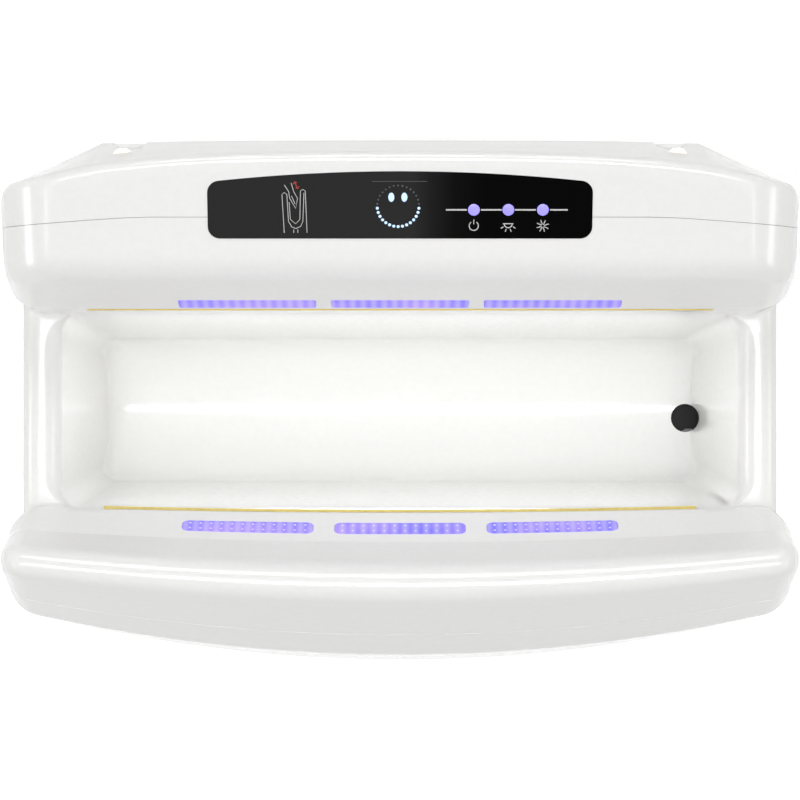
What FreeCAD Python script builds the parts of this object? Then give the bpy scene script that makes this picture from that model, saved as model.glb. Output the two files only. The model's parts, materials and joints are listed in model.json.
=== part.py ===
import FreeCAD, Part
import math
import os
import re
from FreeCAD import Placement, Rotation, Vector

# A wall-hung hand dryer with a deep slot for both hands, air jets on each side of the slot
# and violet sterilising lamps above the jets. Millimetres. +X is to the user's right, -Y points
# from the wall to the user and +Z is up. The origin is the centre of the four wall screws, on
# the wall's surface. A "depth" below is a distance from the wall and a "level" is a height.

SIZES = {
    # casing
    "case_width": 300.0, "skin": 3.0, "back_skin": 5.0, "bow_radius": 640.0,
    "back_level": 238.0, "back_margin": 5.0, "crease_depth": 6.3, "crease_level": 252.0,
    "brow_depth": 49.8, "brow_level": 239.9, "brow_radius": 13.0,
    "chin_depth": 61.7, "chin_level": 205.0,
    "dip_level": 191.0, "dip_rear": 63.7, "dip_front": 137.4,
    "rim_depth": 140.4, "rim_level": 198.0, "band_depth": 150.6, "band_level": 216.0,
    "ridge_depth": 162.8, "ridge_level": 256.5, "ridge_radius": 9.0,
    "nose_depth": 194.5, "nose_level": 203.0, "nose_radius": 10.0,
    "belly_depth": 210.8, "belly_level": 50.0, "belly_radius": 150.0,
    "foot_depth": 179.3, "foot_level": -405.0, "foot_radius": 20.0,
    "shoulder_radius": 24.0, "corner_width": 224.0, "corner_depth": 16.0,
    "rear_seam": 29.3, "side_seam": 171.0, "front_seam_level": 218.0,
    "waist_level": 100.0, "base_level": -388.0,
    "crease_radius": 3.0, "foot_corner": 12.0, "side_corner": 8.0, "wall_corner": 4.0, "zone_margin": 10.0,
    # wall plate
    "plate_width": 220.0, "plate_height": 280.0, "plate_skin": 2.0, "plate_gap": 1.0,
    "screw_span_x": 180.0, "screw_span_z": 220.0, "screw_hole": 6.5,
    "hook_width": 20.0, "hook_reach": 9.0, "hook_place": 50.0, "hook_level": 90.0, "hook_lip": 12.0,
    # hand slot
    "slot_rear": 62.7, "slot_front": 137.1, "slot_floor_rear": 69.0, "slot_floor_front": 133.6,
    "slot_turn_level": 93.0, "slot_floor": 60.0, "slot_half_top": 132.5, "slot_half_floor": 127.5,
    # display
    "panel_width": 141.8, "panel_height": 25.2, "panel_skin": 2.5, "panel_corner": 4.5,
    "panel_depth": 24.9, "panel_tilt": 15.1, "board_skin": 1.6, "panel_board_gap": 5.0,
    "panel_crown": 4.0, "panel_proud": 0.2, "panel_ledge_x": 4.0, "panel_ledge_y": 5.0,
    "display_hole": 12.0, "board_margin_x": 7.0, "board_margin_y": 3.0, "ring_lamp": 0.9,
    "ring_radius": 7.7, "ring_count": 36.0, "ring_height": 1.2, "lamp_size": 1.0,
    "indicator_first": 27.3, "indicator_pitch": 12.7, "indicator_radius": 2.0,
    # sterilising lamps
    "window_pitch": 58.2, "rear_window_width": 52.9, "front_window_width": 50.6,
    "window_height": 8.0, "window_skin": 2.0, "lamp_pitch": 4.0, "lamps_each": 12.0,
    "strip_width": 180.0, "strip_height": 7.0, "strip_gap": 3.0, "eye_radius": 1.2, "eye_place": 42.2,
    "rear_lamp_level": 212.0, "front_lamp_level": 207.5, "band_bow": 0.22, "window_hole": 8.0,
    # air
    "rear_jet_width": 240.0, "front_jet_width": 229.0, "jet_height": 5.0, "jet_slit": 1.2,
    "duct_skin": 2.5, "rear_duct_width": 230.0, "rear_duct_near": 20.0, "rear_duct_far": 57.0,
    "front_duct_width": 210.0, "front_duct_near": 148.0, "front_duct_far": 178.0,
    "duct_floor": -20.0, "rear_jet_level": 197.5, "front_jet_level": 193.5,
    "jet_margin": 0.3, "rear_jet_reach": 25.0, "front_jet_reach": 21.6, "front_jet_near": 13.0,
    "riser_margin": 5.0, "riser_width": 8.0, "rear_riser": 52.0, "front_riser": 10.0, "slit_start": 1.9,
    "slit_reach": 30.0, "rear_slit": 74.0, "port_height": 5.0, "cut_margin": 5.0,
    "box_width": 160.0, "box_top": 45.0,
    "fan_depth": 102.5, "can_radius": 45.0, "can_skin": 2.5, "can_floor": -130.0,
    "wheel_radius": 39.0, "wheel_floor": -124.0, "wheel_height": 16.0, "wheel_plate": 1.6,
    "blade_count": 11.0, "blade_skin": 1.2, "hub_radius": 8.0,
    "shaft_radius": 4.0, "shaft_floor": -126.0, "shaft_length": 100.0, "run_gap": 0.05,
    "stator_radius": 28.5, "stator_floor": -88.0, "stator_height": 42.0, "rotor_radius": 17.5,
    "air_gap": 0.5, "bearing_radius": 10.0, "bearing_height": 6.0,
    "mount_radius": 4.0, "mount_place": 24.0,
    "bridge_skin": 3.0, "bridge_arm": 12.0, "bridge_rim": 3.0, "bridge_gap": 0.5,
    "low_bearing": -101.0, "high_bearing": -41.0,
    "heater_width": 84.0, "heater_depth": 56.0, "heater_floor": -17.5, "heater_height": 24.0,
    "heater_skin": 2.0, "coil_radius": 3.0, "coil_count": 5.0,
    "funnel_radius": 58.0, "funnel_floor": -234.0, "funnel_skin": 2.5,
    # filter
    "tray_near": 35.0, "tray_far": 160.0, "tray_right": 88.0, "tray_floor": -254.0,
    "tray_height": 12.0, "tray_skin": 3.0, "tray_gap": 0.8, "mesh_height": 6.0, "guide_skin": 4.0,
    "guide_start": 8.0, "guide_short": 4.0, "pull_width": 40.0, "pull_height": 3.5,
    # drain and tank
    "drain_x": 120.5, "drain_depth": 104.5, "drain_radius": 6.1, "spigot_radius": 8.5,
    "spigot_length": 26.0, "hose_skin": 2.0, "hose_x": 84.0,
    "hose_bend": 30.0, "spigot_lap": 12.0,
    "hose_bend_level": -245.0, "hose_turn_level": -284.0, "hose_end_level": -299.0,
    "tank_width": 200.0, "tank_near": 62.0, "tank_floor": -380.0, "tank_top": -302.0,
    "tank_skin": 3.0, "tank_face": 162.0, "tank_gap": 0.8, "grip_width": 70.0, "grip_height": 20.0,
    "rail_width": 6.0, "rail_inset": 8.0, "rail_start": 18.0, "rail_gap": 0.3, "grip_start": 51.0,
    # intake grilles
    "grille_near": 70.0, "grille_far": 150.0, "grille_floor": -372.0, "grille_height": 90.0,
    "grille_skin": 2.6, "louvre_pitch": 8.0, "louvre_height": 4.0, "louvre_margin": 6.0, "louvre_start": 7.0,
    "louvre_count": 10.0,
    # electrics
    "board_left": 112.0, "board_width": 70.0, "board_floor": -190.0, "board_height": 150.0,
    "board_depth": 14.0, "post_radius": 3.0, "post_inset": 6.0,
    "trafo_width": 42.0, "trafo_depth": 34.0, "trafo_height": 36.0,
    "block_width": 36.0, "block_depth": 18.0, "block_height": 14.0,
    "cap_radius": 8.0, "cap_length": 26.0, "cap_x": 54.0, "cap_pitch": 24.0,
    "trafo_x": 5.0, "trafo_level": 14.0, "block_x": 17.0, "block_level": 30.0,
    "switch_depth": 70.0, "switch_level": -150.0, "switch_width": 15.0, "switch_height": 22.0,
    "switch_body": 22.0, "switch_sunk": 0.4, "rocker_width": 11.0, "rocker_radius": 9.0, "rocker_inset": 9.0,
    "rocker_tilt": 10.0, "rocker_gap": 0.4, "rocker_back": 4.5, "rocker_front": 7.7, "pin_gap": 0.2,
    "rocker_pin": 1.5, "grommet_x": 90.0, "grommet_level": -200.0, "grommet_bore": 4.5,
    "grommet_neck": 7.0, "grommet_flange": 10.0, "flange_skin": 3.0,
    # screws
    "thread_radius": 2.0, "head_radius": 4.0, "head_height": 2.4, "thread_length": 14.0,
    "rear_screw_x": 103.0, "rear_screw_depth": 7.0, "rear_screw_level": 236.0,
    "base_screw_x": 128.0, "base_screw_near": 14.0, "base_screw_far": 135.0, "base_screw_sunk": 0.6,
    "rear_boss": 8.0, "rear_boss_height": 18.0, "rear_boss_drop": 14.0, "rear_well": 6.5,
    "base_boss": 6.0, "screw_boss_height": 16.0, "lug_margin": 1.0,
}

ALIAS = re.compile(r"[a-z][a-z_]+")
STATIONS = (-1.0, -0.5, 0.0, 0.5, 1.0)

doc = FreeCAD.newDocument("hand_dryer")
sheet = doc.addObject("Spreadsheet::Sheet", "Sizes")
for row, (alias, number) in enumerate(SIZES.items(), start=1):
    sheet.set("A%d" % row, alias)
    sheet.set("B%d" % row, str(number))
    sheet.setAlias("B%d" % row, alias)
doc.recompute()

nodes = []


def size(alias):
    """A driving dimension, read from the sheet."""
    return float(sheet.get(alias))


def bind(thing, prop, formula):
    """Ties a property to the sheet; the formula names sizes by their aliases."""
    thing.setExpression(prop, ALIAS.sub(lambda found: "Sizes." + found.group(0), str(formula)))


def place(thing, spot, turn=None):
    """Binds a placement's three coordinates, after an optional turn (axis, degrees)."""
    if turn:
        thing.Placement = Placement(Vector(), Rotation(Vector(*turn[0]), turn[1]))
    for letter, formula in zip("xyz", spot):
        bind(thing, "Placement.Base." + letter, formula)
    return thing


def block(name, sides, corner, turn=None):
    solid = doc.addObject("Part::Box", name)
    for prop, formula in zip(("Length", "Width", "Height"), sides):
        bind(solid, prop, formula)
    return place(solid, corner, turn)


def rod(name, radius, length, foot, turn=None):
    solid = doc.addObject("Part::Cylinder", name)
    bind(solid, "Radius", radius)
    bind(solid, "Height", length)
    return place(solid, foot, turn)


def shaped(name, shape):
    """A solid made by code, for forms that no primitive or feature gives."""
    thing = doc.addObject("Part::Feature", name)
    thing.Shape = shape
    return thing


def fuse(name, *solids):
    joined = doc.addObject("Part::MultiFuse", name)
    joined.Shapes = list(solids)
    return joined


def common(name, *solids):
    shared = doc.addObject("Part::MultiCommon", name)
    shared.Shapes = list(solids)
    return shared


def cut(name, base, *tools):
    left = doc.addObject("Part::Cut", name)
    left.Base = base
    left.Tool = tools[0] if len(tools) == 1 else fuse(name + "_tools", *tools)
    return left


def group(name, *solids):
    """Equal pieces that share one node."""
    bundle = doc.addObject("Part::Compound", name)
    bundle.Links = list(solids)
    return bundle


def node(thing, label):
    """Marks a finished sub-part; its label is the name of its file."""
    thing.Label = label
    nodes.append(thing)
    return thing


def origin_plane(body, role):
    return next(item for item in body.Origin.OriginFeatures if item.Role == role)


def sketch_on(body, role, name, height=None):
    """A sketch on one of the body's own planes, lifted by a bound height."""
    sketch = body.newObject("Sketcher::SketchObject", name)
    sketch.AttachmentSupport = (origin_plane(body, role), [""])
    sketch.MapMode = "FlatFace"
    if height is not None:
        bind(sketch, "AttachmentOffset.Base.z", height)
    return sketch


def outline(sketch, corners):
    """A closed run of straight lines through the corners."""
    for first, second in zip(corners, corners[1:] + corners[:1]):
        sketch.addGeometry(Part.LineSegment(Vector(*first, 0), Vector(*second, 0)), False)


def rectangle(sketch, low, high):
    outline(sketch, [low, (high[0], low[1]), high, (low[0], high[1])])


def rounded_wire(corners, spot):
    """A closed wire through (a, b, radius) corners, each rounded by a tangent arc."""
    ends = []
    for index, (across, up, radius) in enumerate(corners):
        here = Vector(across, up, 0)
        back = (Vector(*corners[index - 1][:2], 0) - here).normalize()
        ahead = (Vector(*corners[(index + 1) % len(corners)][:2], 0) - here).normalize()
        if not radius:
            ends.append((here, None, here))
            continue
        half = back.getAngle(ahead) / 2
        reach = radius / math.tan(half)
        centre = here + (back + ahead).normalize() * (radius / math.sin(half))
        crown = centre + (here - centre).normalize() * radius
        ends.append((here + back * reach, crown, here + ahead * reach))
    edges = []
    for index, (start, crown, end) in enumerate(ends):
        if crown:
            edges.append(Part.Arc(spot(start), spot(crown), spot(end)).toShape())
        edges.append(Part.LineSegment(spot(end), spot(ends[(index + 1) % len(ends)][0])).toShape())
    return Part.Wire(edges)


def shrunk(corners, skin):
    """The same rounded outline, one skin further in; corners run anticlockwise."""
    moved = []
    count = len(corners)
    for index, (across, up, radius) in enumerate(corners):
        here = Vector(across, up, 0)
        first = (here - Vector(*corners[index - 1][:2], 0)).normalize()
        second = (Vector(*corners[(index + 1) % count][:2], 0) - here).normalize()
        inward = Vector(-first.y, first.x, 0) + Vector(-second.y, second.x, 0)
        turn = first.cross(second).z
        inward = inward * (skin / (1 + first.dot(second)))
        new_radius = max(radius - math.copysign(skin, turn), 0.0) if radius else 0.0
        moved.append((across + inward.x, up + inward.y, new_radius))
    return moved


def section(x, skin=0.0):
    """The casing's outline at a distance x from the middle, as (y, z, radius) corners."""
    sag = x * x / (2 * size("bow_radius"))
    margin = size("back_margin")
    bevel = (size("crease_level") - size("back_level")) / size("crease_depth")
    table = (
        ("crease_depth", "crease_level", size("crease_radius"), 0.0),
        ("brow_depth", "brow_level", size("brow_radius"), 0.0),
        ("chin_depth", "chin_level", 0.0, 0.0),
        ("dip_rear", "dip_level", 0.0, 0.0),
        ("dip_front", "dip_level", 0.0, 0.0),
        ("rim_depth", "rim_level", 0.0, 0.15),
        ("band_depth", "band_level", 0.0, 0.3),
        ("ridge_depth", "ridge_level", size("ridge_radius"), 0.5),
        ("nose_depth", "nose_level", size("nose_radius"), 1.0),
        ("belly_depth", "belly_level", size("belly_radius"), 1.0),
        ("foot_depth", "foot_level", size("foot_radius"), 1.0),
    )
    corners = [(margin, size("foot_level"), 0.0), (margin, size("back_level") - margin * bevel, 0.0)]
    for depth, level, radius, bow in table:
        corners.append((-size(depth) + bow * sag, size(level), radius))
    return shrunk(corners, skin) if skin else corners


def casing(skin=0.0, back=0.0):
    """The solid that the casing fills, or with a skin the space inside it."""
    half = size("case_width") / 2 - skin
    wires = []
    for station in STATIONS:
        x = station * half
        wires.append(rounded_wire(section(x, skin), lambda flat, x=x: Vector(x, flat.x, flat.y)))
    body = Part.makeLoft(wires, True, False)
    far = size("belly_depth") + size("zone_margin")
    shoulder = size("shoulder_radius") - skin
    top = size("crease_level") - skin
    foot = size("foot_level") + skin
    low = size("foot_corner")
    front = [(-half, foot, low), (half, foot, low), (half, top, shoulder), (-half, top, shoulder)]
    face = Part.Face(rounded_wire(front, lambda flat: Vector(flat.x, 0, flat.y)))
    body = body.common(face.extrude(Vector(0, -far, 0)))
    narrow = size("corner_width") / 2 - skin
    corner = size("corner_depth") + skin / 2
    side = size("side_corner")
    wall = size("wall_corner")
    plan = [(-half, -far, 0), (half, -far, 0), (half, -corner, side),
            (narrow, -back, wall), (-narrow, -back, wall), (-half, -corner, side)]
    margin = size("zone_margin")
    face = Part.Face(rounded_wire(plan, lambda flat: Vector(flat.x, flat.y, foot - margin)))
    return face.extrude(Vector(0, 0, top - foot + 2 * margin)).common(body)


def slot_form(name, skin=0.0):
    """The hand slot as a solid: a drafted trough with a round floor and drafted ends."""
    margin = size("zone_margin")
    top = size("crease_level") + margin
    rear = size("slot_rear") - skin
    front = size("slot_front") + skin
    low_rear = size("slot_floor_rear") - skin
    low_front = size("slot_floor_front") + skin
    turn = size("slot_turn_level")
    floor = size("slot_floor") - skin
    lean_rear = (low_rear - rear) / (turn - size("dip_level"))
    lean_front = (low_front - front) / (turn - size("dip_level"))
    high_rear = rear + lean_rear * (top - size("dip_level"))
    high_front = front + lean_front * (top - size("dip_level"))
    reach = size("slot_half_top") + margin
    points = [Vector(-reach, -y, z) for y, z in (
        (high_front, top), (low_front, turn), ((low_front + low_rear) / 2, floor),
        (low_rear, turn), (high_rear, top))]
    edges = [
        Part.LineSegment(points[0], points[1]).toShape(),
        Part.Arc(points[1], points[2], points[3]).toShape(),
        Part.LineSegment(points[3], points[4]).toShape(),
        Part.LineSegment(points[4], points[0]).toShape(),
    ]
    trough = Part.Face(Part.Wire(edges)).extrude(Vector(2 * reach, 0, 0))
    wide = size("slot_half_top") + skin
    narrow = size("slot_half_floor") + skin
    slope = (wide - narrow) / (size("dip_level") - size("slot_floor"))
    mouth = wide + slope * (top - size("dip_level"))
    low = floor - margin
    foot = narrow - slope * (size("slot_floor") - low)
    ends = [(-foot, low, 0), (foot, low, 0), (mouth, top, 0), (-mouth, top, 0)]
    face = Part.Face(rounded_wire(ends, lambda flat: Vector(flat.x, -margin, flat.y)))
    return shaped(name, trough.common(face.extrude(Vector(0, -size("belly_depth"), 0))))


def bore(name, radius, depth, low, high):
    """A level cylinder along Y through the casing, used as a cutter or a peg."""
    return rod(name, radius, "(%s) - (%s)" % (high, low), (depth[0], high, depth[1]), ((1, 0, 0), 90))


def on_face(thing, spot, turn, corner, yaw=0.0):
    """Places a piece on a sloping face: spot on it, turns about X and Z, corner in the face's axes."""
    lean = Rotation(Vector(0, 0, 1), yaw).multiply(Rotation(Vector(1, 0, 0), turn))
    thing.Placement = Placement(Vector(*spot) + lean.multVec(Vector(*corner)), lean)
    return thing


def sized_box(name, length, width, height):
    """A box with bound sides and no place yet."""
    solid = doc.addObject("Part::Box", name)
    for prop, formula in zip(("Length", "Width", "Height"), (length, width, height)):
        bind(solid, prop, formula)
    return solid


# The casing, its hollow and the slot, from which the covers are split.
outer = shaped("outer_form", casing())
hollow = shaped("hollow_form", casing(size("skin"), size("back_skin")))
shell = cut("shell_form", outer, hollow)
slot = slot_form("slot_form")
slot_wrap = slot_form("slot_wrap_form", size("skin"))

FAR = "-belly_depth - zone_margin"
WIDE = ("-case_width", "2 * case_width")
rear_zone = block("rear_zone",
                  (WIDE[1], "rear_seam + zone_margin", "crease_level + zone_margin - base_level"),
                  (WIDE[0], "-rear_seam", "base_level"))
low_front = block("low_front_zone",
                  (WIDE[1], "belly_depth + zone_margin - rear_seam", "waist_level - base_level"),
                  (WIDE[0], FAR, "base_level"))
high_front = block("high_front_zone",
                   (WIDE[1], "belly_depth + zone_margin - side_seam", "front_seam_level - waist_level"),
                   (WIDE[0], FAR, "waist_level"))
middle_zone = block("middle_zone",
                    (WIDE[1], "belly_depth + zone_margin - rear_seam",
                     "crease_level + zone_margin - waist_level"),
                    (WIDE[0], FAR, "waist_level"))
base_zone = block("base_zone", (WIDE[1], "belly_depth + 2 * zone_margin",
                                "base_level - foot_level + zone_margin"),
                  (WIDE[0], FAR, "foot_level - zone_margin"))


# Display: a curved-topped black panel over a board with its lamps.
def display_panel():
    body = doc.addObject("PartDesign::Body", "panel_body")
    sketch = sketch_on(body, "XY_Plane", "panel_outline")
    half = size("panel_width") / 2
    low = -size("panel_height") / 2
    high = size("panel_height") / 2
    side = high - size("panel_crown")
    sketch.addGeometry(Part.LineSegment(Vector(-half, low, 0), Vector(half, low, 0)), False)
    sketch.addGeometry(Part.LineSegment(Vector(half, low, 0), Vector(half, side, 0)), False)
    crown = Part.Arc(Vector(half, side, 0), Vector(0, high, 0), Vector(-half, side, 0))
    sketch.addGeometry(crown, False)
    sketch.addGeometry(Part.LineSegment(Vector(-half, side, 0), Vector(-half, low, 0)), False)
    pad = body.newObject("PartDesign::Pad", "panel_pad")
    pad.Profile = sketch
    bind(pad, "Length", "panel_skin")
    doc.recompute()
    upright = ["Edge%d" % (number + 1) for number, edge in enumerate(pad.Shape.Edges)
               if abs(edge.BoundBox.ZLength - size("panel_skin")) < 0.01]
    corners = body.newObject("PartDesign::Fillet", "panel_corners")
    corners.Base = (pad, upright)
    bind(corners, "Radius", "panel_corner")
    body.Tip = corners
    return body


FACE_SPOT = (0, -size("panel_depth"), size("crease_level")
             - (size("panel_depth") - size("crease_depth"))
             * (size("crease_level") - size("brow_level")) / (size("brow_depth") - size("crease_depth")))
TILT = size("panel_tilt")
PROUD = size("panel_proud")
panel = node(on_face(display_panel(), FACE_SPOT, TILT, (0, 0, PROUD - size("panel_skin"))),
             "display_panel")
panel_hole = on_face(sized_box("panel_hole", "panel_width - 2 * panel_ledge_x",
                               "panel_height - 2 * panel_ledge_y", "display_hole"), FACE_SPOT, TILT,
                     (size("panel_ledge_x") - size("panel_width") / 2,
                      size("panel_ledge_y") - size("panel_height") / 2, -size("display_hole") + 2 * PROUD))
board_under = -size("panel_skin") - size("panel_board_gap")
board_box = sized_box("display_board_box", "panel_width - 2 * board_margin_x",
                      "panel_height - 2 * board_margin_y", "board_skin")
node(on_face(board_box, FACE_SPOT, TILT,
             (size("board_margin_x") - size("panel_width") / 2,
              size("board_margin_y") - size("panel_height") / 2,
              board_under - size("board_skin"))), "display_board")

ring = []
for index in range(int(size("ring_count"))):
    angle = 2 * math.pi * index / size("ring_count")
    spot = (math.cos(angle) * size("ring_radius"), math.sin(angle) * size("ring_radius"), board_under)
    lamp = sized_box("ring_lamp_%d" % index, "ring_lamp", "ring_lamp", "ring_height")
    half = size("ring_lamp") / 2
    ring.append(on_face(lamp, FACE_SPOT, TILT, (spot[0] - half, spot[1] - half, spot[2])))
node(group("ring_lamp_group", *ring), "ring_lamps")

indicators = []
for index in range(3):
    across = size("indicator_first") + index * size("indicator_pitch")
    lamp = sized_box("indicator_%d" % index, "2 * indicator_radius", "2 * indicator_radius", "ring_height")
    indicators.append(on_face(lamp, FACE_SPOT, TILT,
                              (across - size("indicator_radius"), -size("indicator_radius"), board_under)))
node(group("indicator_group", *indicators), "indicator_lamps")

# Sterilising lamps: three windows on each side, one strip of lamps behind each row.


def band_spot(low, high, level):
    """The point of the casing's middle section at a level, between two of its corners."""
    part = (level - size(low + "_level")) / (size(high + "_level") - size(low + "_level"))
    return (0, -size(low + "_depth") - part * (size(high + "_depth") - size(low + "_depth")), level)


REAR_SPOT = band_spot("chin", "brow", size("rear_lamp_level"))
REAR_TURN = -math.degrees(math.atan2(size("chin_depth") - size("brow_depth"),
                                     size("brow_level") - size("chin_level")))
FRONT_SPOT = band_spot("rim", "band", size("front_lamp_level"))
FRONT_TURN = math.degrees(math.atan2(size("band_depth") - size("rim_depth"),
                                     size("band_level") - size("rim_level")))
window_holes = []


def lamp_row(side, spot, turn, inward):
    """Windows, lamp strip, lamps and hand sensors of one side; inward is +1 or -1 along local Y."""
    width = side + "_window_width"
    for name, step in (("left", -1), ("centre", 0), ("right", 1)):
        middle = step * size("window_pitch")
        bow = 0.0 if inward > 0 else size("band_bow")
        sunk = bow * middle * middle / (2 * size("bow_radius"))
        yaw = math.degrees(bow * middle / size("bow_radius"))
        there = (middle, spot[1] + sunk, spot[2])
        label = side + "_uv_window_" + name
        window = sized_box(label + "_box", width, "window_skin", "window_height")
        low = -PROUD if inward > 0 else PROUD - size("window_skin")
        on_face(window, there, turn, (-size(width) / 2, low, -size("window_height") / 2), yaw)
        node(window, label)
        hole = sized_box(label + "_hole", width, "window_hole", "window_height")
        corner = (-size(width) / 2, -size("window_hole") / 2, -size("window_height") / 2)
        on_face(hole, there, turn, corner, yaw)
        window_holes.append(hole)
    gap = size("window_skin") + size("strip_gap")
    near = gap if inward > 0 else -gap - size("board_skin")
    strip = sized_box(side + "_strip", "strip_width", "board_skin", "strip_height")
    node(on_face(strip, spot, turn, (-size("strip_width") / 2, near, -size("strip_height") / 2)),
         side + "_uv_board")
    lamps = []
    lamp_near = gap - size("lamp_size") if inward > 0 else -gap
    for step in (-1, 0, 1):
        for index in range(int(size("lamps_each"))):
            across = (step * size("window_pitch")
                      + (index - (size("lamps_each") - 1) / 2) * size("lamp_pitch"))
            name = "%s_lamp_%d_%d" % (side, step + 1, index)
            lamp = sized_box(name, "lamp_size", "lamp_size", "lamp_size")
            half = size("lamp_size") / 2
            lamps.append(on_face(lamp, spot, turn, (across - half, lamp_near, -half)))
    node(group(side + "_lamp_group", *lamps), side + "_uv_lamps")
    eyes = []
    for hand in (-1, 1):
        eye = doc.addObject("Part::Cylinder", "%s_eye_%d" % (side, hand + 1))
        bind(eye, "Radius", "eye_radius")
        bind(eye, "Height", "strip_gap")
        lean = Rotation(Vector(1, 0, 0), turn)
        start = size("window_skin") if inward > 0 else -gap
        eye.Placement = Placement(
            Vector(*spot) + lean.multVec(Vector(hand * size("eye_place"), start, 0)),
            lean.multiply(Rotation(Vector(1, 0, 0), -90)))
        eyes.append(eye)
    node(group(side + "_eye_group", *eyes), side + "_hand_sensors")


lamp_row("rear", REAR_SPOT, REAR_TURN, 1)
lamp_row("front", FRONT_SPOT, FRONT_TURN, -1)

# Air jets: a bar with a riser from the duct below and a thin slit towards the slot.

def jet(side, reach, riser, slit, low_y):
    """One jet: a bar, bored from the duct below and slit towards the slot."""
    level = side + "_jet_level"
    long = side + "_duct_width - 2 * riser_margin"
    start = "riser_margin - %s_duct_width / 2" % side
    bar = block(side + "_bar", (side + "_jet_width", reach, "jet_height"),
                ("-%s_jet_width / 2" % side, low_y, level))
    up = block(side + "_riser_bore", (long, "riser_width", "jet_height - slit_start + 0.4"),
               (start, riser, level))
    thin = block(side + "_slit", (long, "slit_reach", "jet_slit"), (start, slit, level + " + slit_start"))
    node(cut(side + "_jet_cut", bar, up, thin), side + "_jet")
    return bar


rear_bar = jet("rear", "rear_jet_reach", "-rear_riser", "-rear_slit", "-slot_rear - jet_margin")
front_bar = jet("front", "front_jet_reach", "-front_duct_near - front_riser",
                "-front_duct_near - front_riser", "-front_duct_near - front_jet_near")


def duct(side, near, far, top, riser):
    """An upright air duct with an opening to the air box low down and one to the jet on top."""
    width = side + "_duct_width"
    box = block(side + "_duct_box", (width, "%s - %s" % (far, near), "%s - duct_floor" % top),
                ("-%s / 2" % width, "-" + far, "duct_floor"))
    inside = block(side + "_duct_inside",
                   (width + " - 2 * duct_skin", "%s - %s - 2 * duct_skin" % (far, near),
                    "%s - duct_floor - 2 * duct_skin" % top),
                   ("duct_skin - %s / 2" % width, "duct_skin - %s" % far, "duct_floor + duct_skin"))
    up = block(side + "_duct_up", (width + " - 2 * riser_margin", "riser_width", "2 * cut_margin"),
               ("riser_margin - %s / 2" % width, riser, top + " - cut_margin"))
    across = "-%s - duct_skin - 0.5" % (far if side == "rear" else near)
    port = block(side + "_duct_port",
                 ("box_width - 2 * port_height", "2 * duct_skin + 1",
                  "box_top - duct_floor - 2 * port_height"),
                 ("port_height - box_width / 2", across, "duct_floor + port_height"))
    node(cut(side + "_duct_cut", box, inside, up, port), side + "_duct")


duct("rear", "rear_duct_near", "rear_duct_far", "rear_jet_level", "-rear_riser")
duct("front", "front_duct_near", "front_duct_far", "front_jet_level", "-front_duct_near - front_riser")

# Air box over the blower, open to the ducts at both ends.
box_shell = block("air_box_shell", ("box_width", "front_duct_near - rear_duct_far", "box_top - duct_floor"),
                  ("-box_width / 2", "-front_duct_near", "duct_floor"))
box_inside = block("air_box_inside",
                   ("box_width - 2 * duct_skin", "belly_depth", "box_top - duct_floor - 2 * duct_skin"),
                   ("duct_skin - box_width / 2", "-belly_depth", "duct_floor + duct_skin"))
box_mouth = rod("air_box_mouth", "can_radius - can_skin", "2 * cut_margin",
                ("0", "-fan_depth", "duct_floor - cut_margin"))
node(cut("air_box_cut", box_shell, box_inside, box_mouth), "air_box")

# Heater: a mica frame that stands on the rim of the air box's mouth, with bars across it.
frame_shell = block("heater_shell", ("heater_width", "heater_depth", "heater_height"),
                    ("-heater_width / 2", "-fan_depth - heater_depth / 2", "heater_floor"))
frame_inside = block("heater_inside",
                     ("heater_width - 2 * heater_skin", "heater_depth - 2 * heater_skin",
                      "heater_height + 2 * cut_margin"),
                     ("heater_skin - heater_width / 2", "heater_skin - fan_depth - heater_depth / 2",
                      "heater_floor - cut_margin"))
node(cut("heater_frame_cut", frame_shell, frame_inside), "heater_frame")
bars = []
for index in range(int(size("coil_count"))):
    across = "-fan_depth + (%d - (coil_count - 1) / 2) * heater_depth / (coil_count + 1)" % index
    bars.append(rod("coil_%d" % index, "coil_radius", "heater_width - 2 * heater_skin",
                    ("heater_skin - heater_width / 2", across, "heater_floor + heater_height / 2"),
                    ((0, 1, 0), 90)))
node(group("coil_group", *bars), "heater_coils")

# Blower: a can with the motor hung on rubber between two bridges, the impeller at its foot.
AXIS = ("0", "-fan_depth")
can_shell = rod("can_shell", "can_radius", "duct_floor - can_floor", AXIS + ("can_floor",))
can_inside = rod("can_inside", "can_radius - can_skin", "duct_floor - can_floor",
                 AXIS + ("can_floor + can_skin",))
can_inlet = rod("can_inlet", "can_radius * 0.6", "2 * cut_margin", AXIS + ("can_floor - cut_margin",))
node(cut("can_cut", can_shell, can_inside, can_inlet), "blower_can")


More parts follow.
